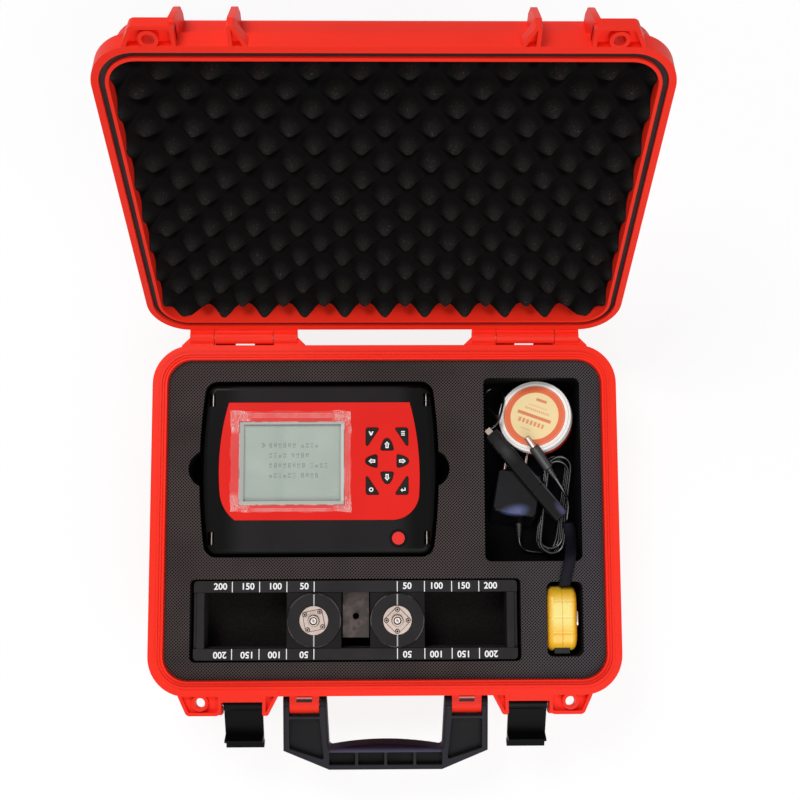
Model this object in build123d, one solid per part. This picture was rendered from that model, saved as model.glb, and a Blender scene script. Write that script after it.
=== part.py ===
from build123d import *
import math
import os

# Crack depth tester kit: a hand-held tester, its two-transducer ruler frame and the
# accessories, in a hinged hard case with cut-out foam. Millimetres, +Z up, +Y towards
# the hinges. The origin is the centre of the case's underside. The lid stands open.

# Case shells
rim_radius = 36.0
rim_band = 13.0
base_height = 105.0
lid_height = 52.0
wall = 4.0
shell_floor = 4.0
base_flange = 8.0
lid_flange = 16.0
case_draft = 6.0
lid_draft = 4.0
foot_radius = 6.0
crown_radius = 9.0
rim_gap = 0.3
panel_width = 300.0
panel_depth = 180.0
panel_sink = 1.5

# Seal between the rims
seal_inset = 5.6
seal_groove = 4.7
groove_depth = 6.0
gasket_height = 3.2
tongue_width = 2.0
tongue_height = 2.0
step_width = 2.2
step_depth = 2.0

# Hinges
hinge_x = 131.0
hinge_reach = 7.8
hinge_drop = 2.5
knuckle_radius = 6.0
lid_knuckle = 54.0
base_knuckle = 22.0
knuckle_gap = 0.6
hinge_pin_radius = 2.5
lid_open = 119.0
stop_gap = 0.4
stop_length = 8.0
hinge_flare = 8.0
hinge_drain = 18.0

# Latches and padlock ears
latch_x = 129.5
latch_width = 35.0
latch_slot = 37.0
latch_length = 46.0
latch_thick = 3.6
latch_barrel = 5.0
latch_reach = 9.0
latch_drop = 14.0
latch_open = 118.0
latch_pin_radius = 2.0
latch_lip = 5.0
lip_height = 6.0
hook_height = 4.2
hook_bite = 3.5
hook_gap = 0.4
tab_radius = 2.6
ear_outer = 187.0
ear_reach = 17.0
ear_slant = 8.0
ear_height = 10.0
ear_border = 3.0
ear_recess = 6.0
ear_round = 5.0
padlock_x = 167.0
padlock_reach = 5.6
padlock_radius = 4.5
padlock_ring = 7.4
gusset_width = 14.0
gusset_tip = 5.0
cheek = 5.0
cheek_drop = 24.0
fin_height = 38.0
fin_top = 46.0
pin_grip = 3.5

# Carry handle
handle_half = 94.0
handle_reach = 10.0
handle_drop = 28.0
handle_droop = 10.0
handle_thick = 20.0
handle_length = 60.0
handle_shoulder = 42.0
handle_cheek = 9.0
grip_half = 52.0
grip_root_half = 55.0
grip_depth = 41.0
grip_bulge = 5.0
handle_round = 3.0
bracket_x = 74.5
bracket_width = 27.0
bracket_root = 13.0
bracket_slot = 14.0
handle_pin_radius = 3.0
handle_border = 5.0
handle_gap = 0.5
web_depth = 6.0
grip_pockets = 4
grip_rib = 2.6
grip_pocket_depth = 12.0

# Foams
foam_drop = 8.0
foam_gap = 0.3
crate_pitch = 26.2
crate_depth = 17.0
crate_drop = 3.0
finger_radius = 17.5
finger_depth = 38.0

# Tester
tester_left_margin = 37.5
tester_back_margin = 21.5
tester_width = 207.0
tester_depth = 160.0
tester_height = 50.0
tester_bow = 6.0
tester_corner = 11.0
tester_round = 7.0
tester_rise = 1.5
tester_skin = 3.0
tester_end = 18.0
tester_split = 26.0
pocket_gap = 1.5
seat_gap = 0.3
face_inset = 19.5
face_bulge_inset = 10.5
face_top_inset = 18.5
face_bottom_inset = 32.5
face_left_inset = 26.0
face_right_inset = 37.5
face_turn = -24.0
face_thick = 1.2
face_sink = 1.0
window_left_inset = 29.45
window_right_inset = 80.25
window_top_inset = 36.45
window_bottom_inset = 46.45
window_thick = 1.6
window_ledge = 3.0
lcd_border = 2.0
board_gap = 3.5
board_margin = 11.0
board_thick = 1.6
mat_thick = 1.5
keys_inset = 40.6
keys_y = 6.7
key_pitch_x = 14.55
key_pitch_y = 15.5
key_corner_x = 13.3
key_corner_y = 21.55
arrow_width = 12.6
arrow_waist = 9.1
arrow_waist_y = 1.2
arrow_top = 3.8
arrow_height = 10.9
arrow_round = 3.0
arrow_side_round = 8.0
corner_key_width = 12.4
corner_key_height = 18.7
key_corner_round = 2.2
key_tip_round = 1.0
key_round = 1.4
key_rise = 1.2
key_flange = 1.0
key_gap = 0.3
key_travel = 0.8
power_inset = 30.4
power_bottom_inset = 15.7
power_radius = 6.0
power_well = 8.5
power_sink = 1.0
strap_inset = 4.0
strap_end_inset = 16.0
strap_slot = 6.0
strap_length = 12.0
strap_depth = 13.0
strap_pin_radius = 1.3
strap_pin_drop = 8.0
battery_size = (72.0, 60.0, 17.0)
screw_inset = 10.5
screw_end_inset = 36.0
screw_radius = 1.5
screw_head = 3.0
screw_head_height = 2.0
screw_length = 34.0
socket_height = 13.0
socket_length = 11.0
socket_recess = 4.0
socket_rim = 2.0
sockets = ((-62.0, 6.5), (-34.0, 6.5), (48.0, 4.5))

# Ruler frame and transducers
ruler_left_margin = 26.3
ruler_front_margin = 17.8
ruler_back_gap = 22.7
ruler_tape_gap = 27.1
ruler_length = 297.0
ruler_depth = 72.0
ruler_height = 28.0
ruler_sink = 2.0
rail_depth = 10.7
end_width = 10.0
end_step = 3.0
ruler_pocket_gap = 3.0
carrier_width = 50.0
carrier_height = 22.0
carrier_start = 38.15
slide_gap = 0.25
groove_sink = 3.0
groove_height = 6.4
tongue_rise = 9.0
transducer_radius = 22.5
transducer_cap = 24.7
cap_height = 2.5
transducer_drop = 14.0
cell_radius = 13.0
cell_height = 1.6
flange_side = 17.5
flange_thick = 1.6
coax_radius = 4.8
coax_length = 6.0
coax_pin_radius = 1.1
lock_radius = 2.0
screw_pitch = 14.0
head_radius = 1.5
head_height = 0.9
connector_turns = (11.0, 45.0)
plate_width = 24.4
plate_depth = 41.5
plate_thick = 2.5
plate_drop = 6.0
plate_hole = 2.9
plate_hole_y = 22.0

# Accessory tray and what lies in it
tray_right_margin = 20.0
tray_back_margin = 17.0
tray_width = 90.0
tray_length = 170.5
tray_radius = 6.0
tray_depth = 47.0
tin_offset = (10.6, 47.35)
tin_radius = 33.6
tin_height = 21.0
tin_sheet = 1.0
tin_lid_radius = 34.6
tin_lid_height = 9.0
tin_bead = 1.2
tin_lean = 19.3
tin_turn = 150.0
lid_gap = 0.3
adapter_offset = (-13.4, -27.4)
adapter_width = 42.0
adapter_length = 52.0
adapter_height = 28.0
adapter_slope = 12.6
adapter_turn = -10.0
adapter_round = 4.0
blade_radius = 2.0
blade_length = 19.0
blade_pitch = 19.0
blade_rise = 7.0
blade_shift = -4.0
cord_radius = 1.5
cord_gap = 0.25
relief_shift = 8.5
relief_rise = 7.0
relief_length = 11.5
relief_radius = 3.2
relief_rings = 4
hank_offset = (22.8, -31.75)
hank_lean = 8.0
hank_run = 74.0
hank_fold = 10.0
hank_loops = 4
hank_fan = 1.2
hank_pitch = 3.7
hank_tail = 12.0
plug_offset = (-4.7, 29.65, 45.2)
plug_turn = -54.3
plug_dip = 10.0
barrel_radius = 2.75
barrel_length = 11.2
plug_radius = 5.0
plug_length = 25.0
plug_relief = 11.0
stick_offset = (-37.5, 33.85)
stick_turn = -50.0
stick_width = 14.5
stick_thick = 10.0
stick_round = 3.0
stick_length = 102.0
stick_cap_length = 36.0
stick_nose = 12.0
stick_nose_width = 9.0
stick_nose_thick = 5.0
stick_groove = 0.6
clasp_length = 5.5
clasp_width = 7.0
clasp_height = 5.0
lanyard_radius = 1.1

# Tape measure
tape_right_margin = 26.0
tape_front_margin = 24.3
tape_width = 27.6
tape_length = 59.4
tape_height = 55.0
tape_round = 16.0
tape_edge = 6.0
tape_rise = 2.0
tape_pocket_width = 33.4
tape_pocket_length = 68.0
tape_pocket_shift = 2.5
mouth_width = 14.4
mouth_height = 25.0
mouth_depth = 4.0
mouth_proud = 2.4
mouth_low = 24.0
clip_thick = 1.6
clip_width = 18.0
clip_height = 34.0
clip_low = 14.0
strap_band = 12.0
band_shift = 6.3
band_thick = 2.6
band_bend = 4.2
run_gap = 0.06

# Levels and axes that follow from the sizes
bed_width = ruler_left_margin + ruler_length + ruler_tape_gap + tape_width + tape_right_margin
bed_depth = ruler_front_margin + ruler_depth + ruler_back_gap + tester_depth + tester_back_margin
rim_width = bed_width + 2 * rim_band
rim_depth = bed_depth + 2 * rim_band
rim_back = rim_depth / 2
rim_front = -rim_depth / 2
lid_rim = base_height + rim_gap
lid_top = lid_rim + lid_height
hinge_y = rim_back + hinge_reach
hinge_z = base_height - hinge_drop
latch_y = rim_front - latch_reach
latch_z = base_height - latch_drop
handle_y = rim_front - handle_reach
handle_z = base_height - handle_drop
foam_top = base_height - foam_drop
tester_top = foam_top + tester_rise
tester_base = tester_top - tester_height
tester_seam = tester_base + tester_split
ruler_top = foam_top - ruler_sink
ruler_base = ruler_top - ruler_height
tray_floor = foam_top - tray_depth
tape_base = foam_top + tape_rise - tape_height
bed_right = bed_width / 2
bed_left = -bed_right
bed_back = bed_depth / 2
bed_front = -bed_back
tester_x = bed_left + tester_left_margin + tester_width / 2
tester_y = bed_back - tester_back_margin - tester_depth / 2
face_half = tester_width / 2 - face_inset
face_bulge = tester_width / 2 - face_bulge_inset
face_top = tester_depth / 2 - face_top_inset
face_bottom = face_bottom_inset - tester_depth / 2
face_left_low = face_left_inset - tester_width / 2
face_right_low = tester_width / 2 - face_right_inset
window_width = tester_width - window_left_inset - window_right_inset
window_depth = tester_depth - window_top_inset - window_bottom_inset
window_x = (window_left_inset - window_right_inset) / 2
window_y = (window_bottom_inset - window_top_inset) / 2
board_width = tester_width - 2 * (tester_end + board_gap)
board_depth = tester_depth - 2 * (tester_skin + board_margin)
keys_x = tester_width / 2 - keys_inset
power_x = tester_width / 2 - power_inset
power_y = power_bottom_inset - tester_depth / 2
strap_x = tester_width / 2 - strap_inset
strap_y = tester_depth / 2 - strap_end_inset
screw_x = tester_width / 2 - screw_inset
screw_y = tester_depth / 2 - screw_end_inset
ruler_x = bed_left + ruler_left_margin + ruler_length / 2
ruler_y = bed_front + ruler_front_margin + ruler_depth / 2
tray_x = bed_right - tray_right_margin - tray_width / 2
tray_y = bed_back - tray_back_margin - tray_length / 2
tin_x, tin_y = tray_x + tin_offset[0], tray_y + tin_offset[1]
adapter_x, adapter_y = tray_x + adapter_offset[0], tray_y + adapter_offset[1]
hank_x, hank_y = tray_x + hank_offset[0], tray_y + hank_offset[1]
stick_x, stick_y = tray_x + stick_offset[0], tray_y + stick_offset[1]
tape_x = bed_right - tape_right_margin - tape_width / 2
tape_y = bed_front + tape_front_margin + tape_length / 2
tape_pocket_x = tape_x + tape_pocket_shift
band_x = tape_x + band_shift
tape_back = tape_y + tape_length / 2
tape_front = tape_y - tape_length / 2


# Shared shapes
def plate(outline, z_low, z_high):
    return extrude(Pos(0, 0, z_low) * outline, amount=z_high - z_low, dir=(0, 0, 1))


def rib(profile, x_low, x_high):
    return extrude(Plane.YZ.offset(x_low) * profile, amount=x_high - x_low, dir=(1, 0, 0))


def rod_x(radius, y, z, x_low, x_high):
    return rib(Pos(y, z) * Circle(radius), x_low, x_high)


def rod_y(radius, x, z, y_low, y_high):
    disc = Plane.XZ * (Pos(x, z) * Circle(radius))
    return extrude(Pos(0, y_low, 0) * disc, amount=y_high - y_low, dir=(0, 1, 0))


def block(x_low, x_high, y_low, y_high, z_low, z_high):
    middle = Pos((x_low + x_high) / 2, (y_low + y_high) / 2, (z_low + z_high) / 2)
    return middle * Box(x_high - x_low, y_high - y_low, z_high - z_low)


def both_sides(shape):
    return shape + mirror(shape, about=Plane.YZ)


def rim_outline(inset):
    return RectangleRounded(rim_width - 2 * inset, rim_depth - 2 * inset, rim_radius - inset)


def rim_ring(outer_inset, inner_inset, z_low, z_high):
    return plate(rim_outline(outer_inset) - rim_outline(inner_inset), z_low, z_high)


def tub(inset, z_rim, z_far, draft):
    near = Pos(0, 0, z_rim) * rim_outline(inset)
    far = Pos(0, 0, z_far) * rim_outline(inset + draft)
    return loft([near, far], ruled=True)


def inner_tub(gap, z_rim, z_far, height, draft):
    return tub(rim_band + gap, z_rim, z_far, draft * abs(z_far - z_rim) / height)


def in_tray(x, y, z):
    return (tray_x + x, tray_y + y, tray_floor + z)


def open_lid(shape):
    return shape.rotate(Axis((0, hinge_y, hinge_z), (1, 0, 0)), -lid_open)


# Padlock ears, gussets and ribs that flank each latch
slot_outer = latch_x + latch_slot / 2
slot_inner = latch_x - latch_slot / 2
ear_back = rim_front + rim_band / 2
ear_front = rim_front - ear_reach
rib_root = rim_front + rim_band + case_draft
padlock_y = rim_front - padlock_reach


def ear_outline():
    outline = Polygon(
        (slot_outer, ear_back),
        (slot_outer, ear_front),
        (ear_outer - ear_slant, ear_front),
        (ear_outer, rim_front),
        (ear_outer, ear_back),
        align=None,
    )
    return fillet(outline.vertices().group_by(Axis.Y)[0], ear_round)


def gusset_outline():
    outline = Polygon(
        (slot_inner, ear_back),
        (slot_inner, ear_front),
        (slot_inner - gusset_tip, ear_front),
        (slot_inner - gusset_width, rim_front),
        (slot_inner - gusset_width, ear_back),
        align=None,
    )
    return fillet(outline.vertices().group_by(Axis.Y)[0], gusset_tip / 3)


def ear_recesses():
    ring = Pos(padlock_x, padlock_y) * Circle(padlock_ring)
    ear = offset(ear_outline(), -ear_border) - rim_outline(0) - ring
    gusset = offset(gusset_outline(), -ear_border) - rim_outline(0)
    return ear + gusset


def padlock_hole(z_low, z_high):
    return plate(Pos(padlock_x, padlock_y) * Circle(padlock_radius), z_low, z_high)


def slot_ribs(profile):
    outer = rib(profile, slot_outer, slot_outer + cheek)
    return outer + rib(profile, slot_inner - cheek, slot_inner)


def base_latch_station():
    low = base_height - ear_height
    station = plate(ear_outline(), low, base_height) + plate(gusset_outline(), low, base_height)
    station -= plate(ear_recesses(), base_height - ear_recess, base_height)
    cheeks = Polygon(
        (rib_root, base_height - ear_recess),
        (ear_front, base_height - ear_recess),
        (ear_front, latch_z - latch_barrel),
        (rib_root, latch_z - cheek_drop),
        align=None,
    )
    lip_low = base_height - lip_height
    lip = block(slot_inner, slot_outer, rim_front - latch_lip, ear_back, lip_low, base_height)
    return station + slot_ribs(cheeks) + lip


def lid_latch_station():
    high = lid_rim + ear_height
    station = plate(ear_outline(), lid_rim, high) + plate(gusset_outline(), lid_rim, high)
    station -= plate(ear_recesses(), lid_rim, lid_rim + ear_recess)
    fin = Polygon(
        (rib_root, lid_rim + ear_recess),
        (ear_front, lid_rim + ear_recess),
        (ear_front, high),
        (rim_front - ear_reach / 3, lid_rim + fin_height),
        (rim_front + ear_reach / 3, lid_rim + fin_top),
        (rib_root, lid_rim + fin_top),
        align=None,
    )
    fin = fillet(fin.vertices().sort_by(Axis.Y)[2:3], ear_round)
    return station + slot_ribs(fin)


# Hinge knuckles
def base_knuckle_spans():
    near = lid_knuckle / 2 + knuckle_gap
    return ((hinge_x + near, hinge_x + near + base_knuckle), (hinge_x - near - base_knuckle, hinge_x - near))


def base_hinge():
    arm = Polygon(
        (rim_back - rim_band / 2, hinge_z - knuckle_radius),
        (hinge_y, hinge_z - knuckle_radius),
        (hinge_y, hinge_z),
        (rim_back - rim_band / 2, base_height),
        align=None,
    )
    # The stop stands square to the lid flange's back face when the lid is open.
    swing = math.radians(lid_open)
    out_y, out_z = -math.cos(swing), math.sin(swing)
    rise = hinge_reach - stop_gap
    corners = ((0, 0), (rise, stop_length / 4), (rise, stop_length), (0, stop_length))
    stop = Polygon(
        *[(hinge_y + n * out_y + s * out_z, hinge_z + n * out_z - s * out_y) for n, s in corners],
        align=None,
    )
    profile = Pos(hinge_y, hinge_z) * Circle(knuckle_radius) + arm + stop
    (far_low, far_high), (near_low, near_high) = base_knuckle_spans()
    knuckles = rib(profile, far_low, far_high) + rib(profile, near_low, near_high)
    root = rim_back - rim_band / 2
    flare = Polygon(
        (far_high, hinge_y),
        (far_high + hinge_flare, rim_back),
        (far_high + hinge_flare, root),
        (near_low - hinge_flare, root),
        (near_low - hinge_flare, rim_back),
        (near_low, hinge_y),
        align=None,
    )
    low = hinge_z - knuckle_radius
    wings = plate(flare, low, base_height - rim_gap * 2) - block(
        near_low, far_high, root, rim_back + hinge_reach * 2, low - 1, base_height
    )
    # A shelf under the lid's knuckle, open in the middle so that dirt falls through
    shelf_top = low - knuckle_gap
    shelf = block(near_high, far_low, root, hinge_y, shelf_top - wall, shelf_top)
    shelf -= block(hinge_x - hinge_drain / 2, hinge_x + hinge_drain / 2, rim_back, hinge_y, 0, shelf_top)
    return knuckles + wings + shelf


def lid_hinge():
    clear_y = rim_back + knuckle_radius / 6
    arm = Polygon(
        (rim_back - rim_band / 2, lid_rim + rim_gap * 4),
        (clear_y, lid_rim + rim_gap * 4),
        (hinge_y - knuckle_radius, hinge_z + hinge_drop / 2),
        (hinge_y, hinge_z),
        (hinge_y + knuckle_radius * 0.7, hinge_z + knuckle_radius * 0.7),
        (rim_back - rim_band / 2, lid_rim + lid_flange * 0.75),
        align=None,
    )
    profile = Pos(hinge_y, hinge_z) * Circle(knuckle_radius) + arm
    return rib(profile, hinge_x - lid_knuckle / 2, hinge_x + lid_knuckle / 2)


def hinge_bore(radius):
    half = lid_knuckle / 2 + knuckle_gap + base_knuckle - 1
    return rod_x(radius, hinge_y, hinge_z, hinge_x - half, hinge_x + half)


# Handle brackets on the front wall
bracket_low = bracket_x - bracket_width / 2
bracket_high = bracket_x + bracket_width / 2


def handle_bracket():
    profile = Pos(handle_y, handle_z) * Circle(handle_cheek) + Polygon(
        (rib_root, handle_z - bracket_root),
        (handle_y, handle_z - handle_cheek),
        (handle_y, handle_z + handle_cheek),
        (rib_root, handle_z + bracket_root),
        align=None,
    )
    slot_y = handle_y + handle_cheek
    slot = block(
        bracket_x - bracket_slot / 2,
        bracket_x + bracket_slot / 2,
        slot_y - handle_border / 2,
        slot_y + handle_border / 2,
        handle_z,
        handle_z + 2 * bracket_root,
    )
    return rib(profile, bracket_low, bracket_high) - slot


def handle_pin_bore(radius):
    grip = handle_border - 1
    return rod_x(radius, handle_y, handle_z, bracket_low - grip, bracket_high + grip)


def latch_pin_bore(radius):
    return rod_x(radius, latch_y, latch_z, slot_inner - pin_grip, slot_outer + pin_grip)


def case_base():
    shell = tub(rim_band - wall, base_height, 0, case_draft)
    shell = fillet(shell.faces().sort_by(Axis.Z)[0].edges(), foot_radius)
    shell += plate(rim_outline(0), base_height - base_flange, base_height)
    shell += both_sides(base_latch_station() + handle_bracket() + base_hinge())
    shell -= inner_tub(0, base_height, shell_floor, base_height, case_draft)
    shell -= rim_ring(rim_band - step_width, rim_band + 1, base_height - step_depth, base_height)
    tongue = seal_inset + (seal_groove - tongue_width) / 2
    shell += rim_ring(tongue, tongue + tongue_width, base_height - step_depth, base_height + tongue_height)
    bores = padlock_hole(base_height - 2 * ear_height, base_height) + hinge_bore(hinge_pin_radius)
    bores += handle_pin_bore(handle_pin_radius) + latch_pin_bore(latch_pin_radius)
    return shell - both_sides(bores)


def case_lid():
    shell = tub(rim_band - wall, lid_rim, lid_top, lid_draft)
    shell = fillet(shell.faces().sort_by(Axis.Z)[-1].edges(), crown_radius)
    shell += plate(rim_outline(0), lid_rim, lid_rim + lid_flange)
    shell += both_sides(lid_latch_station() + lid_hinge())
    shell -= inner_tub(0, lid_rim, lid_top - shell_floor, lid_height, lid_draft)
    shell -= rim_ring(seal_inset, seal_inset + seal_groove, lid_rim, lid_rim + groove_depth)
    shell -= plate(RectangleRounded(panel_width, panel_depth, rim_radius / 2), lid_top - panel_sink, lid_top)
    bores = padlock_hole(lid_rim, lid_rim + 2 * ear_height) + hinge_bore(hinge_pin_radius + run_gap)
    return open_lid(shell - both_sides(bores))


def lid_gasket():
    high = lid_rim + groove_depth
    return open_lid(rim_ring(seal_inset, seal_inset + seal_groove, high - gasket_height, high))


# Egg-crate foam: two crossed saw-tooth slabs leave a lattice of four-sided peaks.
def crate_slab(turn, z_roof):
    z_peak = lid_rim + crate_drop
    teeth = 2 * math.ceil((rim_width + rim_depth) / 2 / crate_pitch)
    half = teeth * crate_pitch / 2
    saw = [(-half + i * crate_pitch / 2, z_peak + crate_depth * (i % 2)) for i in range(2 * teeth + 1)]
    profile = Plane.XZ * Polygon(*saw, (half, z_roof), (-half, z_roof), align=None)
    return Rot(0, 0, turn) * extrude(profile, amount=rim_width, both=True)


def lid_foam():
    z_roof = lid_top - shell_floor
    slab = crate_slab(45, z_roof) & crate_slab(-45, z_roof)
    return open_lid(inner_tub(foam_gap, lid_rim, z_roof, lid_height, lid_draft) & slab)


# Latch: a plate that hooks over the lid's flange, drawn closed and then swung open
def latch(centre):
    hook_low = lid_rim + lid_flange + hook_gap
    plate_side = Pos(latch_y, latch_z + latch_length / 2) * Rectangle(latch_thick, latch_length)
    hook_in = rim_front + hook_bite
    hook = Polygon(
        (latch_y, hook_low),
        (hook_in, hook_low),
        (hook_in, hook_low + hook_height / 2),
        (latch_y, hook_low + hook_height),
        align=None,
    )
    tab = Pos(latch_y - tab_radius, latch_z + latch_length - tab_radius) * Circle(tab_radius)
    barrel = Pos(latch_y, latch_z) * Circle(latch_barrel)
    profile = plate_side + hook + tab + barrel - Pos(latch_y, latch_z) * Circle(latch_pin_radius + run_gap)
    closed = rib(profile, centre - latch_width / 2, centre + latch_width / 2)
    return closed.rotate(Axis((0, latch_y, latch_z), (1, 0, 0)), latch_open)


# Carry handle: drawn flat with its pivots on the X axis, then drooped about them
def handle_outline():
    half = Polygon(
        (0, -handle_cheek),
        (handle_half, -handle_cheek),
        (handle_half, handle_shoulder),
        (grip_half, handle_length),
        (0, handle_length),
        align=None,
    )
    outline = half + mirror(half, about=Plane.YZ)
    opening = make_face(
        Polyline(
            (-grip_half, grip_depth),
            (-grip_root_half, -2 * handle_cheek),
            (grip_root_half, -2 * handle_cheek),
            (grip_half, grip_depth),
        )
        + ThreePointArc((grip_half, grip_depth), (0, grip_depth - grip_bulge), (-grip_half, grip_depth))
    )
    return outline - fillet(opening.vertices().group_by(Axis.Y)[-1], handle_round)


def handle_webs():
    fork = bracket_high + handle_gap
    root = bracket_low - handle_gap
    wing = Polygon(
        (root, handle_cheek + handle_border / 2),
        (fork, handle_cheek + handle_border / 2),
        (fork, handle_shoulder - handle_border / 2),
        (grip_half + handle_border, handle_length - 2 * handle_border),
        (grip_half + handle_border, grip_depth + handle_border),
        align=None,
    )
    wing = fillet(wing.vertices(), handle_round / 2)
    return wing + mirror(wing, about=Plane.YZ)


def grip_webs():
    span = 2 * grip_half
    width = (span - (grip_pockets - 1) * grip_rib) / grip_pockets
    middle = handle_length - handle_border - grip_pocket_depth / 2
    pocket = RectangleRounded(width, grip_pocket_depth, grip_rib / 3)
    return GridLocations(width + grip_rib, 1, grip_pockets, 1), Pos(0, middle) * pocket


def carry_handle():
    half_thick = handle_thick / 2
    body = plate(handle_outline(), -half_thick, half_thick)
    rims = body.edges().filter_by(Axis.Z, reverse=True).filter_by(lambda e: e.center().Y > handle_cheek)
    body = fillet(rims, handle_round)
    fork = block(
        bracket_low - handle_gap,
        bracket_high + handle_gap,
        -2 * handle_cheek,
        handle_cheek + handle_gap,
        -handle_thick,
        handle_thick,
    )
    body -= both_sides(fork)
    round_end = rod_x(handle_cheek, 0, 0, 0, handle_half)
    nose = block(0, handle_half, -2 * handle_cheek, 0, -handle_thick, handle_thick) - round_end
    body -= both_sides(nose)
    places, pocket = grip_webs()
    for low, high in ((half_thick - web_depth, half_thick), (-half_thick, web_depth - half_thick)):
        body -= plate(handle_webs(), low, high)
        body -= [plate(place * pocket, low, high) for place in places]
    body -= both_sides(rod_x(handle_pin_radius + run_gap, 0, 0, bracket_low - handle_half, handle_half))
    return Pos(0, handle_y, handle_z) * (Rot(handle_droop, 0, 0) * mirror(body, about=Plane.XZ))


# Base foam with a pocket for each thing it holds
def base_foam():
    foam = inner_tub(foam_gap, base_height, shell_floor, base_height, case_draft)
    foam &= block(-rim_width, rim_width, -rim_depth, rim_depth, 0, foam_top)
    tester = Pos(tester_x, tester_y) * tester_outline(-pocket_gap)
    foam -= plate(tester, tester_base - seat_gap, base_height)
    for side in (-1, 1):
        finger = Pos(tester_x + side * tester_width / 2, tester_y) * Circle(finger_radius)
        foam -= plate(finger, foam_top - finger_depth, base_height)
    ruler = Rectangle(ruler_length + 2 * ruler_pocket_gap, ruler_depth + ruler_pocket_gap)
    foam -= plate(Pos(ruler_x, ruler_y) * ruler, ruler_base - transducer_drop - seat_gap, base_height)
    tray = Pos(tray_x, tray_y) * RectangleRounded(tray_width, tray_length, tray_radius)
    foam -= plate(tray, tray_floor, base_height)
    tape = RectangleRounded(tape_pocket_width, tape_pocket_length, tape_edge)
    foam -= plate(Pos(tape_pocket_x, tape_y) * tape, tape_base - seat_gap, base_height)
    return foam


# Tester: drawn about its own centre, seated in its pocket at the end
tester_seat = Pos(tester_x, tester_y, 0)


def tester_outline(inset):
    half = tester_width / 2 - inset
    deep = tester_depth / 2 - inset
    left = ThreePointArc((-half, deep), (-half - tester_bow, 0), (-half, -deep))
    right = ThreePointArc((half, -deep), (half + tester_bow, 0), (half, deep))
    outline = make_face(left + Line(left @ 1, right @ 0) + right + Line(right @ 1, left @ 0))
    return fillet(outline.vertices(), tester_corner - inset)


def cavity_outline():
    return RectangleRounded(
        tester_width - 2 * tester_end, tester_depth - 2 * tester_skin, tester_corner - tester_skin
    )


def face_outline(grow):
    top_left = (-face_half, face_top)
    top_right = (face_half, face_top)
    right_turn = (face_bulge - 0.5, face_turn)
    left_turn = (-face_bulge + 1.5, face_turn)
    low_right = (face_right_low, face_bottom)
    low_left = (face_left_low, face_bottom)
    right_mid = (face_bulge - 0.5, (face_top + face_turn) / 4)
    left_mid = (-face_bulge + 0.5, (face_top + face_turn) / 4)
    right_corner = ((face_bulge * 2 + face_right_low) / 3, face_bottom * 0.87)
    left_corner = (-face_bulge + 6.0, face_bottom * 0.78)
    edges = Line(top_left, top_right)
    edges += ThreePointArc(top_right, right_mid, right_turn)
    edges += ThreePointArc(right_turn, right_corner, low_right)
    edges += Line(low_right, low_left)
    edges += ThreePointArc(low_left, left_corner, left_turn)
    edges += ThreePointArc(left_turn, left_mid, top_left)
    outline = make_face(edges)
    return offset(outline, grow) if grow else outline


# Keys: their outlines by name, each about its own place on the tester
def arrow_key(turn):
    low = arrow_height / 2
    outline = Polygon(
        (-arrow_width / 2, -low),
        (arrow_width / 2, -low),
        (arrow_waist / 2, arrow_waist_y),
        (arrow_top / 2, low),
        (-arrow_top / 2, low),
        (-arrow_waist / 2, arrow_waist_y),
        align=None,
    )
    outline = fillet(outline.vertices().group_by(Axis.Y)[-1], arrow_round)
    outline = fillet(outline.vertices().group_by(Axis.Y)[1], arrow_side_round)
    outline = fillet(outline.vertices().group_by(Axis.Y)[0], key_round)
    return Rot(0, 0, turn) * outline


def corner_key(side, level):
    x = side * corner_key_width / 2
    y = level * corner_key_height / 2
    outline = Polygon((x, y), (-x, y), (x, -y), align=None)
    outline = fillet(outline.vertices().sort_by_distance((x, y))[0], key_corner_round)
    return fillet(outline.vertices().sort_by_distance((x, y))[-2:], key_tip_round)


def key_outlines():
    middle = Pos(keys_x, keys_y)
    keys = {
        "key_up": Pos(0, key_pitch_y) * arrow_key(0),
        "key_left": Pos(-key_pitch_x, 0) * arrow_key(90),
        "key_down": Pos(0, -key_pitch_y) * arrow_key(180),
        "key_right": Pos(key_pitch_x, 0) * arrow_key(-90),
    }
    for row, level in (("top", 1), ("bottom", -1)):
        for column, side in (("left", -1), ("right", 1)):
            place = Pos(side * key_corner_x, level * key_corner_y)
            keys[f"key_{row}_{column}"] = place * corner_key(side, level)
    return {name: middle * outline for name, outline in keys.items()}


power_outline = Pos(power_x, power_y) * Circle(power_radius)
face_surface = tester_top - face_sink + face_thick
skin_under = tester_top - tester_skin
key_under = skin_under - key_gap - key_flange
mat_top = key_under - key_travel - 0.1
board_top = mat_top - mat_thick


def press_key(outline, top):
    stem = plate(outline, key_under, top)
    return tester_seat * (stem + plate(offset(outline, key_flange), key_under, key_under + key_flange))


def window_outline(inset):
    outline = RectangleRounded(window_width - 2 * inset, window_depth - 2 * inset, key_round)
    return Pos(window_x, window_y) * outline


def screw_places():
    return GridLocations(2 * screw_x, 2 * screw_y, 2, 2)


def strap_places():
    return GridLocations(2 * strap_x, 2 * strap_y, 2, 2)


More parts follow.
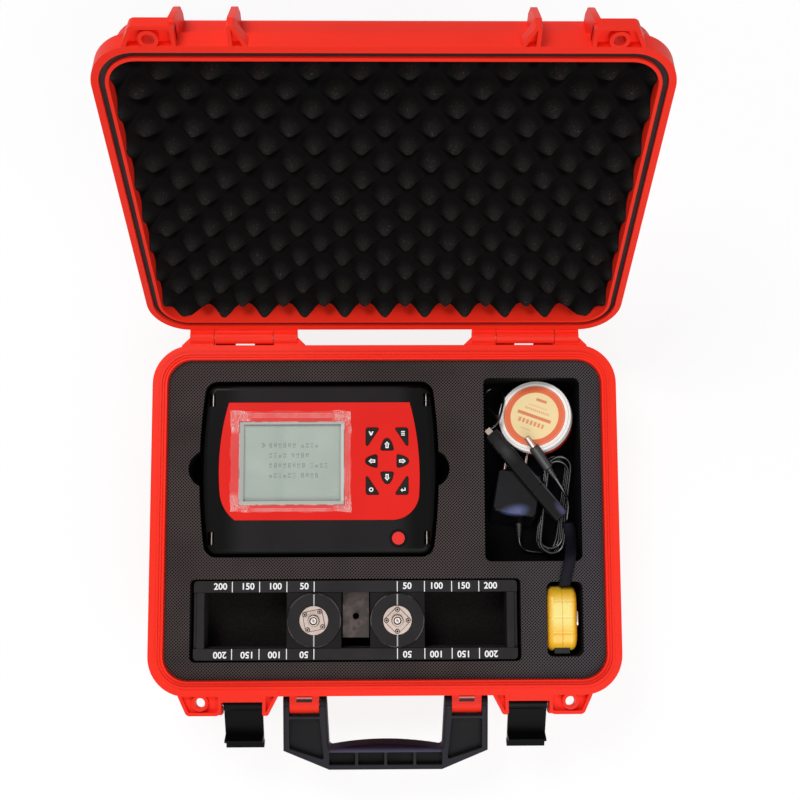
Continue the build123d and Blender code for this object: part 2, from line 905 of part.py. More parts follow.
def front_housing():
    shell = plate(tester_outline(0), tester_seam, tester_top)
    shell = fillet(shell.faces().sort_by(Axis.Z)[-1].edges(), tester_round)
    shell -= plate(cavity_outline(), tester_seam, skin_under)
    post_x = board_width / 2 - 4 * board_thick
    post_y = board_depth / 2 - 4 * board_thick
    for x, y in ((-post_x, post_y), (post_x, post_y), (-post_x, -post_y), (0, -post_y)):
        shell += plate(Pos(x, y) * Circle(2 * screw_radius), board_top, skin_under)
    shell -= plate(face_outline(key_gap), tester_top - face_sink, tester_top)
    shell -= plate(window_outline(window_ledge), skin_under, tester_top)
    shell -= [plate(offset(key, key_gap), skin_under, tester_top) for key in key_outlines().values()]
    shell -= plate(Pos(power_x, power_y) * Circle(power_well), tester_top - power_sink, tester_top)
    shell -= plate(offset(power_outline, key_gap), skin_under, tester_top)
    slot = Rectangle(strap_slot, strap_length)
    shell -= [plate(place * slot, tester_top - strap_depth, tester_top) for place in strap_places()]
    shell -= strap_pin_shapes() + screw_shapes()
    return tester_seat * shell


def back_housing():
    shell = plate(tester_outline(0), tester_base, tester_seam)
    shell = fillet(shell.faces().sort_by(Axis.Z)[0].edges(), tester_round)
    shell -= plate(cavity_outline(), tester_base + tester_skin, tester_seam)
    for x, radius in sockets:
        shell -= socket_body(x, radius)
    return tester_seat * (shell - screw_shapes())


def strap_pin_shapes():
    z = tester_top - strap_pin_drop
    half = strap_length / 2 + 1
    pins = []
    for place in strap_places():
        x, y, _ = place.position
        pins.append(rod_y(strap_pin_radius, x, z, y - half, y + half))
    return pins


def screw_shapes():
    head_top = tester_base + screw_head_height
    screw = plate(Circle(screw_head), tester_base, head_top)
    screw += plate(Circle(screw_radius), tester_base, tester_base + screw_length)
    return [place * screw for place in screw_places()]


def socket_body(x, radius):
    back = tester_depth / 2
    return rod_y(radius, x, tester_base + socket_height, back - tester_skin - socket_length, back)


def tester_sockets():
    back = tester_depth / 2
    z = tester_base + socket_height
    bodies = []
    for x, radius in sockets:
        mouth = rod_y(radius - socket_rim, x, z, back - socket_recess, back)
        contact = rod_y(radius / 5, x, z, back - socket_recess, back - socket_rim)
        bodies.append(tester_seat * (socket_body(x, radius) - mouth + contact))
    return bodies


def faceplate():
    body = plate(face_outline(0), tester_top - face_sink, face_surface)
    body -= plate(window_outline(0), tester_top - face_sink, face_surface)
    for key in key_outlines().values():
        body -= plate(offset(key, key_gap), tester_top - face_sink, face_surface)
    return tester_seat * body


def display_window():
    low = tester_top - face_sink
    return tester_seat * plate(window_outline(0), low, low + window_thick)


def lcd_panel():
    return tester_seat * plate(window_outline(window_ledge - lcd_border), board_top, skin_under)


def keypad_mat():
    low_y = power_y - power_radius - 2 * key_flange
    high_y = keys_y + key_corner_y + corner_key_height / 2 + 2 * key_flange
    low_x = keys_x - key_pitch_x - arrow_height / 2 - 2 * key_flange
    high_x = tester_width / 2 - tester_end - key_flange
    return tester_seat * block(low_x, high_x, low_y, high_y, board_top, mat_top)


def main_board():
    body = plate(Rectangle(board_width, board_depth), board_top - board_thick, board_top)
    low_y = power_y - power_radius - 2 * key_flange
    tail = block(power_x - power_well, board_width / 2, low_y, 0, board_top - board_thick, board_top)
    return tester_seat * (body + tail)


def battery_pack():
    width, depth, height = battery_size
    low = tester_base + tester_skin
    body = block(-width / 2, width / 2, -depth / 2, depth / 2, low, low + height)
    return tester_seat * fillet(body.edges().filter_by(Axis.Y), height / 4)


# Ruler frame: two rails joined by end blocks, with carriers that slide in the rails' grooves
ruler_seat = Pos(ruler_x, ruler_y, 0)
bay_half = ruler_depth / 2 - rail_depth
end_inner = ruler_length / 2 - end_width
groove_low = ruler_base + tongue_rise


def ruler_rail(side):
    edge = side * ruler_depth / 2
    inner = side * bay_half
    low, high = min(edge, inner), max(edge, inner)
    rail = block(-ruler_length / 2, ruler_length / 2, low, high, ruler_base, ruler_top)
    deep = side * (bay_half + groove_sink)
    low, high = min(deep, inner), max(deep, inner)
    groove = block(-end_inner, end_inner, low, high, groove_low, groove_low + groove_height)
    return ruler_seat * (rail - groove)


def ruler_end(side):
    outer = side * ruler_length / 2
    inner = side * end_inner
    body = block(min(outer, inner), max(outer, inner), -bay_half, bay_half, ruler_base, ruler_top)
    step = side * (end_inner + end_width - end_step)
    body -= block(min(outer, step), max(outer, step), -bay_half, bay_half, ruler_top - end_step, ruler_top)
    return ruler_seat * body


def centre_plate():
    top = ruler_top - plate_drop
    body = block(-plate_width / 2, plate_width / 2, bay_half - plate_depth, bay_half, top - plate_thick, top)
    hole = plate(Pos(0, bay_half - plate_hole_y) * Circle(plate_hole), top - plate_thick, top)
    return ruler_seat * (body - hole)


def carrier(side):
    half = bay_half - slide_gap
    low = ruler_top - carrier_height
    body = block(-carrier_width / 2, carrier_width / 2, -half, half, low, ruler_top)
    reach = bay_half + groove_sink - slide_gap
    body += block(-carrier_width / 2, carrier_width / 2, -reach, reach, groove_low + slide_gap,
                  groove_low + groove_height - slide_gap)
    body -= plate(Circle(transducer_radius), low, ruler_top)
    return ruler_seat * (Pos(side * carrier_start, 0, 0) * body)


cap_top = ruler_top + cap_height


def transducer(side):
    body = plate(Circle(transducer_radius), ruler_base - transducer_drop, ruler_top)
    cap = plate(Circle(transducer_cap), ruler_top, cap_top)
    cap = chamfer(cap.faces().sort_by(Axis.Z)[-1].edges(), cap_height / 3)
    return ruler_seat * (Pos(side * carrier_start, 0, 0) * (body + cap))


def connector(side, turn):
    disc_top = cap_top + cell_height
    flange_top = disc_top + flange_thick
    body = plate(Circle(cell_radius), cap_top, disc_top)
    body += plate(RectangleRounded(flange_side, flange_side, lock_radius), disc_top, flange_top)
    coax = Circle(coax_radius) - Circle(coax_radius * 0.75) + Circle(coax_pin_radius)
    body += plate(coax, disc_top, flange_top + coax_length)
    screws = [place * plate(Circle(head_radius), flange_top, flange_top + head_height)
              for place in GridLocations(screw_pitch, screw_pitch, 2, 2)]
    return ruler_seat * (Pos(side * carrier_start, 0, 0) * (Rot(0, 0, turn) * (body + screws)))


# Tin of coupling grease: it leans on the cord hank
def tin_seat():
    lean = math.radians(tin_lean)
    low = tray_floor + seat_gap + tin_radius * math.sin(lean)
    return Pos(tin_x, tin_y, low) * Rot(0, 0, tin_turn) * Rot(0, tin_lean, 0)


def tin_body():
    cup = plate(Circle(tin_radius), 0, tin_height - lid_gap - tin_sheet)
    cup = fillet(cup.faces().sort_by(Axis.Z)[0].edges(), tin_bead)
    neck = tin_height - tin_lid_height
    cup -= plate(Circle(tin_radius - tin_sheet), tin_sheet, tin_height)
    bead = Plane.XZ * (Pos(tin_radius, neck - 2 * tin_bead) * Circle(tin_bead / 2))
    return tin_seat() * (cup + revolve(bead, Axis.Z))


def tin_lid():
    skirt = tin_height - tin_lid_height
    cap = plate(Circle(tin_lid_radius), skirt, tin_height)
    cap = fillet(cap.faces().sort_by(Axis.Z)[-1].edges(), tin_bead)
    cap -= plate(Circle(tin_radius + lid_gap), skirt, tin_height - tin_sheet)
    panel = tin_lid_radius - 3 * tin_bead
    cap -= plate(Circle(panel) - Circle(panel - tin_bead), tin_height - tin_bead / 2, tin_height)
    return tin_seat() * cap


# Mains adapter
adapter_seat = Pos(adapter_x, adapter_y, tray_floor) * Rot(0, 0, adapter_turn)
relief_slope = adapter_slope * relief_rise / adapter_height
relief_seat = adapter_seat * Pos(relief_shift, relief_slope - adapter_length / 2, relief_rise)
relief_x, relief_back, relief_z = relief_seat.position
relief_front = relief_back - relief_length


def adapter_case():
    front = -adapter_length / 2
    side = Polygon(
        (front, 0),
        (-front, 0),
        (-front, adapter_height),
        (front + adapter_slope, adapter_height),
        align=None,
    )
    body = rib(side, -adapter_width / 2, adapter_width / 2)
    uprights = body.edges().filter_by(Axis.X, reverse=True).filter_by(Axis.Y, reverse=True)
    body = fillet(uprights, adapter_round)
    body = chamfer(body.faces().sort_by(Axis.Z)[-1].edges(), adapter_round / 3)
    body -= blade_shapes()
    return adapter_seat * body - relief_shape()


def blade_shapes():
    root = adapter_length / 2 - adapter_round
    tip = adapter_length / 2 + blade_length
    places = [blade_shift - blade_pitch / 2, blade_shift + blade_pitch / 2]
    return [rod_y(blade_radius, place, blade_rise, root, tip) for place in places]


def adapter_blades():
    return [adapter_seat * blade for blade in blade_shapes()]


def relief_shape():
    taper = [relief_radius, cord_radius + 0.6]
    root = relief_back + 2 * adapter_round
    step = relief_length / (2 * relief_rings)
    ends = [(0, root), (relief_radius, root)]
    for ring in range(relief_rings):
        share = ring / (relief_rings - 1)
        radius = taper[0] + (taper[1] - taper[0]) * share
        start = relief_back - 2 * ring * step
        ends += [(radius, start), (radius, start - step)]
        ends += [(radius * 0.8, start - step), (radius * 0.8, start - 2 * step)]
    profile = Polygon(*ends, (0, relief_front), align=None)
    turned = revolve(profile, Axis.Y)
    return Pos(relief_x, 0, relief_z) * turned


# Charger cord: straight runs and tangent arcs, with each arc as large as its runs allow
def cord_corner_radii(points):
    vectors = [Vector(*b) - Vector(*a) for a, b in zip(points, points[1:])]
    radii = []
    for before, after in zip(vectors, vectors[1:]):
        turn = math.radians(before.get_angle(after))
        radii.append(0.45 * min(before.length, after.length) / math.tan(turn / 2))
    return radii


def cord_tube(name, points, radius):
    radii = cord_corner_radii(points)
    print(name, "corner radii", [round(r, 1) for r in radii])
    path = FilletPolyline(*points, radius=radii)
    tube = sweep(Plane(path @ 0, z_dir=path % 0) * Circle(radius), path=path)
    ideal = math.pi * radius ** 2 * path.length
    print(name, "length", round(path.length, 1), "volume ratio", round(tube.volume / ideal, 4))
    return tube


hank_z = tray_floor + seat_gap + cord_radius
hank_low_y = hank_y - hank_run / 2
hank_high_y = hank_y + hank_run / 2
hank_left = hank_x - hank_fold
hank_lead = (hank_x - 2 * cord_radius, hank_low_y - hank_fold, hank_z)


def in_hank(x, y, z):
    swing = math.radians(hank_lean)
    east, north = x - hank_x, y - hank_y
    return (
        hank_x + east * math.cos(swing) + north * math.sin(swing),
        hank_y - east * math.sin(swing) + north * math.cos(swing),
        z,
    )


def hank_right(loop):
    return hank_x + hank_fold + hank_fan * loop


def hank_path():
    # Each loop: up a right run, a half turn, down a left run that climbs one layer, a half turn.
    lead = Line(hank_lead, (hank_x, hank_lead[1], hank_z))
    corner = hank_fold * math.sqrt(0.5)
    bend = ThreePointArc(
        lead @ 1, (hank_x + corner, hank_low_y - corner, hank_z), (hank_right(0), hank_low_y, hank_z)
    )
    pieces = [lead, bend]
    for loop in range(hank_loops):
        z = hank_z + hank_pitch * loop
        above = z + hank_pitch
        right = hank_right(loop)
        following = hank_right(loop + 1)
        top = (right - hank_left) / 2
        bottom = (following - hank_left) / 2
        half_rise = (hank_left, hank_y, (z + above) / 2)
        dip = TangentArc((hank_left, hank_high_y, z), half_rise, tangent=(0, -1, 0))
        pieces += [
            Line((right, hank_low_y, z), (right, hank_high_y, z)),
            ThreePointArc(
                (right, hank_high_y, z),
                (right - top, hank_high_y + top, z),
                (hank_left, hank_high_y, z),
            ),
            dip,
            TangentArc(half_rise, (hank_left, hank_low_y, above), tangent=dip % 1),
            ThreePointArc(
                (hank_left, hank_low_y, above),
                (following - bottom, hank_low_y - bottom, above),
                (following, hank_low_y, above),
            ),
        ]
    last = hank_right(hank_loops)
    z_last = hank_z + hank_pitch * hank_loops
    pieces.append(Line((last, hank_low_y, z_last), (last, hank_low_y + hank_tail, z_last)))
    upright = Wire([edge for piece in pieces for edge in piece.edges()])
    return upright.rotate(Axis((hank_x, hank_y, 0), (0, 0, 1)), -hank_lean)


def least_gap(path, radius):
    # Points one radius apart: neighbours nearer than eight diameters along the cord are left out.
    count = int(path.length / radius)
    skip = int(16 * radius / (path.length / count))
    points = [path @ (i / count) for i in range(count + 1)]
    near = [(a - b).length for i, a in enumerate(points) for b in points[i + skip:]]
    return min(near) - 2 * radius


def cord_hank():
    path = hank_path()
    print("cord_hank length", round(path.length, 1), "least gap", round(least_gap(path, cord_radius), 2))
    tube = sweep(Plane(path @ 0, z_dir=path % 0) * Circle(cord_radius), path=path)
    print("cord_hank volume ratio", round(tube.volume / (math.pi * cord_radius ** 2 * path.length), 4))
    return tube


def cord_adapter_end():
    points = [
        (relief_x, relief_front - cord_gap, relief_z),
        (relief_x, relief_front - 5.8, relief_z - 0.6),
        (relief_x + 2.9, relief_front - 10.9, relief_z - 2.0),
        (relief_x + 7.9, relief_front - 13.8, relief_z - 3.8),
        in_hank(hank_lead[0] - cord_gap, hank_lead[1], hank_z),
    ]
    return cord_tube("cord_adapter_end", points, cord_radius)


# DC plug: drawn along +X from its tip, then turned and dipped into place
plug_seat = Pos(*in_tray(*plug_offset)) * Rot(0, 0, plug_turn) * Rot(0, plug_dip, 0)
plug_total = barrel_length + plug_length + plug_relief


def dc_plug():
    grip = Rot(0, 90, 0) * plate(Circle(plug_radius), barrel_length, barrel_length + plug_length)
    grip = fillet(grip.faces().sort_by(Axis.X)[0].edges(), plug_radius / 4)
    grip = chamfer(grip.faces().sort_by(Axis.X)[-1].edges(), plug_radius / 4)
    neck_start = barrel_length + plug_length
    step = plug_relief / (2 * relief_rings)
    neck = [(neck_start, 0)]
    for ring in range(relief_rings):
        radius = relief_radius - (relief_radius - cord_radius - 0.6) * ring / (relief_rings - 1)
        start = neck_start + 2 * ring * step
        neck += [(start, radius), (start + step, radius)]
        neck += [(start + step, radius * 0.8), (start + 2 * step, radius * 0.8)]
    neck.append((plug_total, 0))
    grip += revolve(Polygon(*neck, align=None), Axis.X)
    return plug_seat * grip


def dc_plug_barrel():
    sleeve = plate(Circle(barrel_radius) - Circle(barrel_radius * 0.4), 0, barrel_length)
    return plug_seat * (Rot(0, 90, 0) * sleeve)


def cord_plug_end():
    z_last = hank_z + hank_pitch * hank_loops
    last = hank_right(hank_loops)
    end = (plug_seat * Pos(plug_total, 0, 0)).position
    before = (plug_seat * Pos(plug_total + plug_relief, 0, 0)).position
    points = [
        in_hank(last, hank_low_y + hank_tail, z_last),
        in_hank(last, hank_low_y + hank_tail + 9.0, z_last),
        in_tray(37.0, -30.0, 24.0),
        tuple(before),
        tuple(end),
    ]
    return cord_tube("cord_plug_end", points, cord_radius)


# Two-part stick with its wrist lanyard, lying across the adapter
stick_base = tray_floor + adapter_height + seat_gap
stick_seat = Pos(stick_x, stick_y, stick_base) * Rot(0, 0, stick_turn)
stick_split = stick_length - stick_cap_length


def stick_prism(width, thick, radius, x_low, x_high):
    middle = stick_thick / 2
    profile = Plane.YZ * (Pos(0, middle) * RectangleRounded(width, thick, radius))
    return extrude(Pos(x_low, 0, 0) * profile, amount=x_high - x_low, dir=(1, 0, 0))


def stick_barrel():
    body = stick_prism(stick_width, stick_thick, stick_round, 0, stick_split)
    for start in (8.0, 20.0):
        skin = stick_prism(stick_width, stick_thick, stick_round, start, start + 2.0)
        core_width = stick_width - 2 * stick_groove
        core_thick = stick_thick - 2 * stick_groove
        core = stick_prism(core_width, core_thick, stick_round, start, start + 2.0)
        body -= skin - core
    nose_end = stick_split + stick_nose
    nose = stick_prism(stick_nose_width, stick_nose_thick, stick_round / 4, stick_split, nose_end)
    return stick_seat * (body + nose)


def stick_cap():
    body = stick_prism(stick_width, stick_thick, stick_round, stick_split + seat_gap, stick_length)
    body = chamfer(body.faces().sort_by(Axis.X)[-1].edges(), stick_round / 3)
    hollow = stick_prism(
        stick_nose_width + 2 * seat_gap,
        stick_nose_thick + 2 * seat_gap,
        stick_round / 4,
        stick_split,
        stick_split + stick_nose + seat_gap,
    )
    return stick_seat * (body - hollow)


def stick_clasp():
    body = stick_prism(clasp_width, clasp_height, stick_round / 3, -clasp_length, 0)
    return stick_seat * body


def stick_lanyard():
    # Both ends leave the clasp's side one above the other, then the loop opens over the tin's edge.
    exits = []
    for level in (1, -1):
        rise = stick_thick / 2 + level * lanyard_radius * 1.1
        for reach in (clasp_width / 2, clasp_width / 2 + 6.5):
            exits.append(tuple((stick_seat * Pos(-clasp_length / 2, reach, rise)).position))
    upper, upper_out, lower, lower_out = exits
    points = [
        upper,
        upper_out,
        in_tray(-28.0, 49.75, 32.0),
        in_tray(-25.8, 57.75, 27.6),
        in_tray(-23.6, 65.55, 23.4),
        in_tray(-22.6, 73.15, 17.4),
        in_tray(-26.4, 79.15, 10.6),
        in_tray(-33.0, 80.75, 5.6),
        in_tray(-39.4, 76.95, 5.0),
        in_tray(-41.6, 69.55, 8.4),
        in_tray(-39.0, 62.15, 14.8),
        in_tray(-34.4, 55.75, 21.6),
        in_tray(-29.8, 48.75, 29.4),
        lower_out,
        lower,
    ]
    return cord_tube("stick_lanyard", points, lanyard_radius)


# Tape measure standing on its edge, with a folded wrist band over the foam
def tape_profile():
    middle = Pos(tape_y, tape_base + tape_height / 2)
    return middle * RectangleRounded(tape_length, tape_height, tape_round)


def mouth_block(gap):
    low = tape_base + mouth_low
    return block(
        tape_x - mouth_width / 2 - gap,
        tape_x + mouth_width / 2 + gap,
        tape_front - mouth_proud,
        tape_front + mouth_depth + gap,
        low - gap,
        low + mouth_height + gap,
    )


def tape_shell(side):
    outer = tape_x + side * tape_width / 2
    body = rib(tape_profile(), min(tape_x, outer), max(tape_x, outer))
    face = body.faces().sort_by(Axis.X)[-1 if side > 0 else 0]
    return fillet(face.edges(), tape_edge) - mouth_block(0)


def tape_mouth():
    body = mouth_block(0)
    front = body.faces().sort_by(Axis.Y)[0]
    return chamfer(front.edges(), mouth_proud / 3)


def tape_clip():
    outer = tape_x + tape_width / 2
    low = tape_base + clip_low
    profile = Pos(tape_y, low + clip_height / 2) * RectangleRounded(clip_width, clip_height, tape_edge)
    return rib(profile, outer, outer + clip_thick)


def tape_band():
    z_over = foam_top + seat_gap + band_thick / 2 + 0.6
    y_start = tape_back + band_thick / 2
    points = [
        (y_start, tape_base + tape_height / 2),
        (y_start, z_over),
        (-34.5, z_over),
        (-25.0, 83.0),
        (-17.0, 75.0),
        (-8.6, 72.0),
    ]
    path = FilletPolyline(*points, radius=[band_bend, 6.0, 14.0, 14.0])
    ribbon = Plane.YZ * trace(path, band_thick)
    fold = Plane.YZ * (Pos(*points[-1]) * Circle(band_thick * 0.8))
    low = band_x - strap_band / 2
    shapes = [extrude(Pos(low, 0, 0) * face, amount=strap_band, dir=(1, 0, 0)) for face in (ribbon, fold)]
    return shapes[0] + shapes[1]


nodes = {
    "case_base": case_base(),
    "case_lid": case_lid(),
    "lid_gasket": lid_gasket(),
    "hinge_pins": both_sides(hinge_bore(hinge_pin_radius)),
    "latch_left": latch(-latch_x),
    "latch_right": latch(latch_x),
    "front_pins": both_sides(latch_pin_bore(latch_pin_radius) + handle_pin_bore(handle_pin_radius)),
    "carry_handle": carry_handle(),
    "base_foam": base_foam(),
    "lid_foam": lid_foam(),
    "front_housing": front_housing(),
    "back_housing": back_housing(),
    "faceplate": faceplate(),
    "display_window": display_window(),
    "lcd_panel": lcd_panel(),
    "keypad_mat": keypad_mat(),
    "main_board": main_board(),
    "battery_pack": battery_pack(),
    "housing_screws": [tester_seat * screw for screw in screw_shapes()],
    "tester_sockets": tester_sockets(),
    "strap_pins": [tester_seat * pin for pin in strap_pin_shapes()],
    "power_button": press_key(power_outline, tester_top + key_rise / 2),
    "ruler_rail_back": ruler_rail(1),
    "ruler_rail_front": ruler_rail(-1),
    "ruler_end_left": ruler_end(-1),
    "ruler_end_right": ruler_end(1),
    "centre_plate": centre_plate(),
    "carrier_left": carrier(-1),
    "carrier_right": carrier(1),
    "transducer_left": transducer(-1),
    "transducer_right": transducer(1),
    "connector_left": connector(-1, connector_turns[0]),
    "connector_right": connector(1, connector_turns[1]),
    "tin_body": tin_body(),
    "tin_lid": tin_lid(),
    "adapter_case": adapter_case(),
    "adapter_blades": adapter_blades(),
    "adapter_relief": relief_shape(),
    "cord_adapter_end": cord_adapter_end(),
    "cord_hank": cord_hank(),
    "cord_plug_end": cord_plug_end(),
    "dc_plug": dc_plug(),
    "dc_plug_barrel": dc_plug_barrel(),
    "stick_barrel": stick_barrel(),
    "stick_cap": stick_cap(),
    "stick_clasp": stick_clasp(),
    "stick_lanyard": stick_lanyard(),
    "tape_shell_left": tape_shell(-1),
    "tape_shell_right": tape_shell(1),
    "tape_mouth": tape_mouth(),
    "tape_clip": tape_clip(),
    "tape_band": tape_band(),
}
for key_name, key_outline in key_outlines().items():
    nodes[key_name] = press_key(key_outline, face_surface + key_rise)

os.makedirs("parts", exist_ok=True)
for name, shape in nodes.items():
    solids = shape if isinstance(shape, list) else shape.solids()
    export_step(Compound([solid for item in solids for solid in item.solids()]), f"parts/{name}.step")
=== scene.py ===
import math

import bmesh
import bpy
import numpy as np
from mathutils import Matrix, Vector


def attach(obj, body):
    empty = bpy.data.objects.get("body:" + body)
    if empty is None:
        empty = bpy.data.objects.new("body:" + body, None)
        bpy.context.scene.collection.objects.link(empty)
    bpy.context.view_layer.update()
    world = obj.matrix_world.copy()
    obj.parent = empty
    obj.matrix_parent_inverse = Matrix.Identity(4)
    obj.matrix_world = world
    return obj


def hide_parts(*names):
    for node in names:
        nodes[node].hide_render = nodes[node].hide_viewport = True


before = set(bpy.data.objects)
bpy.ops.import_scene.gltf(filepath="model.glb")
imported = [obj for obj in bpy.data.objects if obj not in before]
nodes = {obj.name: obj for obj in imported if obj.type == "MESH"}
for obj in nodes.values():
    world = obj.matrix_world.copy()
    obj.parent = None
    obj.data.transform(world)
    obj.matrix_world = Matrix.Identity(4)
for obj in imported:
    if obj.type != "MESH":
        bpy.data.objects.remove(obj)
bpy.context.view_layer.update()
mm = 0.001
scene = bpy.context.scene
scene.view_settings.view_transform = "Standard"
print("frame loaded:", len(nodes), "nodes")


# Colours and shader maths

def ink(red, green, blue):
    # a screen colour from 0 to 255 as the shader's linear colour
    share = np.array([red, green, blue]) / 255
    linear = np.where(share <= 0.04045, share / 12.92, ((share + 0.055) / 1.055) ** 2.4)
    return (*[float(x) for x in linear], 1.0)


def darker(colour, share):
    return tuple(int(c * share) for c in colour)


def maths(operation, swapped=False):
    # a method of Channel that adds one Math node
    def method(self, other=0.0):
        first, second = (other, self) if swapped else (self, other)
        return self.graph.node("ShaderNodeMath", {"operation": operation}, {0: first, 1: second})
    return method


class Channel:
    # one number that changes over a surface; sums and products of channels add Math nodes
    __add__ = maths("ADD")
    __radd__ = maths("ADD", swapped=True)
    __sub__ = maths("SUBTRACT")
    __rsub__ = maths("SUBTRACT", swapped=True)
    __mul__ = maths("MULTIPLY")
    __pow__ = maths("POWER")
    __abs__ = maths("ABSOLUTE")
    larger = maths("MAXIMUM")
    smaller = maths("MINIMUM")
    sine = maths("SINE")

    def __init__(self, graph, socket):
        self.graph = graph
        self.socket = socket

    def above(self, low, high):
        # 0 below low, 1 over high, with a smooth rise between them
        values = {0: self, 1: low, 2: high, 3: 0.0, 4: 1.0}
        return self.graph.node("ShaderNodeMapRange", {"interpolation_type": "SMOOTHSTEP"}, values)

    def below(self, low, high):
        return 1 - self.above(low, high)

    def line(self, near, far):
        # 1 within near of zero, 0 past far
        return abs(self).below(near, far)

    def wave(self, pitch):
        return (self * (2 * math.pi / pitch)).sine()


class Graph:
    # a node tree and short ways to add to it
    def __init__(self, tree):
        self.tree = tree

    def feed(self, socket, value):
        # a channel is linked, a screen colour made linear, any other value set as it is
        if isinstance(value, Channel):
            self.tree.links.new(value.socket, socket)
        elif socket.type == "RGBA" and len(value) == 3:
            socket.default_value = ink(*value)
        else:
            socket.default_value = value

    def node(self, kind, settings=None, inputs=None, output=0):
        made = self.tree.nodes.new(kind)
        for key, value in (settings or {}).items():
            setattr(made, key, value)
        for key, value in (inputs or {}).items():
            self.feed(made.inputs[key], value)
        return Channel(self, made.outputs[output])

    def raySeen(self):
        # 1 for what the camera sees, directly, mirrored or through glass; 0 for the light it gives
        ray = self.tree.nodes.new("ShaderNodeLightPath")
        kinds = ("Is Camera Ray", "Is Glossy Ray", "Is Transmission Ray")
        camera, glossy, through = (Channel(self, ray.outputs[kind]) for kind in kinds)
        return camera.larger(glossy).larger(through)


class Finish(Graph):
    # one procedural material: a Principled shader and the nodes that feed it
    def __init__(self, name, look):
        self.material = bpy.data.materials.new(name)
        self.material.use_nodes = True
        super().__init__(self.material.node_tree)
        self.shader = next(n for n in self.tree.nodes if n.type == "BSDF_PRINCIPLED")
        self.give("Base Color", look["colour"])
        self.give("Roughness", look["roughness"])
        self.give("Specular IOR Level", look.get("shine", 0.5))
        for socket, value in look.get("fixed", {}).items():
            self.give(socket, value)

    def give(self, socket, value):
        self.feed(self.shader.inputs[socket], value)

    def place(self, centre=(0, 0, 0), turn=(0, 0, 0), stretch=(1, 1, 1)):
        # Object coordinates measured from centre, turned and stretched
        spot = self.node("ShaderNodeTexCoord", output="Object")
        shifted = self.node("ShaderNodeVectorMath", {"operation": "SUBTRACT"}, {0: spot, 1: centre})
        return self.node("ShaderNodeMapping", {}, {0: shifted, 2: turn, 3: stretch})

    def placeInMm(self, centre=(0, 0, 0), turn=(0, 0, 0)):
        return self.place([c * mm for c in centre], turn, (1 / mm, 1 / mm, 1 / mm))

    def split(self, spot):
        return [self.node("ShaderNodeSeparateXYZ", {}, {0: spot}, output=i) for i in range(3)]

    def axes(self, centre=(0, 0, 0), turn=(0, 0, 0)):
        # x, y and z from centre, in millimetres
        return self.split(self.placeInMm(centre, turn))

    def distance(self, spot):
        return self.node("ShaderNodeVectorMath", {"operation": "LENGTH"}, {0: spot}, output=1)

    def noise(self, size, detail, rough=0.5, **placing):
        # a cloud pattern whose lumps are about size metres across
        values = {"Vector": self.place(**placing), "Scale": 1 / size, "Detail": detail, "Roughness": rough}
        return self.node("ShaderNodeTexNoise", {}, values)

    def patches(self, size, detail, low, high, rough=0.5):
        return self.noise(size, detail, rough).above(low, high)

    def cells(self, size, low, high):
        values = {"Vector": self.place(), "Scale": 1 / size}
        return self.node("ShaderNodeTexVoronoi", {"feature": "F1"}, values).above(low, high)

    def mix(self, mask, first, second):
        return self.node("ShaderNodeMix", {"data_type": "RGBA"}, {0: mask, 6: first, 7: second}, output=2)

    def layers(self, base, *coats):
        # each coat, a mask and a colour, lies over what is below it
        for mask, colour in coats:
            base = self.mix(mask, base, colour)
        return base

    def bump(self, height, depth, strength):
        values = {"Height": height, "Distance": depth, "Strength": strength}
        self.give("Normal", self.node("ShaderNodeBump", {}, values))


# Plain finishes: a patch is size, detail, low and high, cells are size, low and high,
# a grain is size and detail, and a dent is depth and strength

plasticWear = {"patch": (0.035, 3, 0.35, 0.7), "dull": 0.1, "scatter": 0.14, "dent": (0.00005, 0.5)}
plastics = {
    # colour, shade, roughness, size of the grain, shine
    "latchBlack": ((10, 10, 11), (6, 6, 7), 0.29, 0.0016, 0.07),
    "railBlack": ((41, 39, 40), (34, 32, 33), 0.45, 0.0007, 0.1),
    "carrierBlack": ((28, 26, 27), (23, 21, 22), 0.43, 0.0007, 0.07),
    "keyBlack": ((40, 37, 34), (30, 27, 25), 0.5, 0.0008, 0.08),
    "mouthBlack": ((30, 27, 25), (22, 20, 19), 0.45, 0.0008, 0.2),
    "cordBlack": ((26, 26, 28), (17, 17, 19), 0.12, 0.0007, 0.9),
    "reliefBlack": ((44, 43, 44), (34, 33, 34), 0.31, 0.0007, 0.5),
    "sealBlack": ((40, 18, 16), (28, 13, 12), 0.55, 0.0006, 0.3),
}
metalWear = {
    "fixed": {"Metallic": 1.0}, "patch": (0.009, 3, 0.45, 0.75), "share": 0.5, "darken": 0.75, "dull": 0.06,
    "grain": (0.02, 3, 0.6), "scatter": 0.16, "dent": (0.00003, 0.5),
}
metals = {
    # colour, roughness, stretch of the brushed lines
    "pinSteel": ((196, 196, 198), 0.3, (1, 60, 60)),
    "nickel": ((186, 169, 160), 0.3, (2, 2, 4)),
    "screwSteel": ((150, 140, 132), 0.34, (20, 20, 20)),
    "clipSteel": ((178, 162, 152), 0.25, (10, 1, 40)),
}
paintWear = {"patch": (0.0009, 3, 0.58, 0.8, 0.7), "darken": 0.82, "dull": 0.15}
paints = {
    # colour, roughness
    "whiteInk": ((252, 252, 252), 0.45),
    "indexInk": ((178, 178, 180), 0.45),
    "screenInk": ((74, 82, 78), 0.45),
    "insulator": ((250, 247, 242), 0.4),
    # the brown is painted shadow in gaps round the connectors, the pink a painted highlight on the handle
    # brackets
    "paintedShadowBrown": ((62, 46, 40), 0.5),
    "paintedLipHighlight": ((238, 150, 142), 0.4),
}
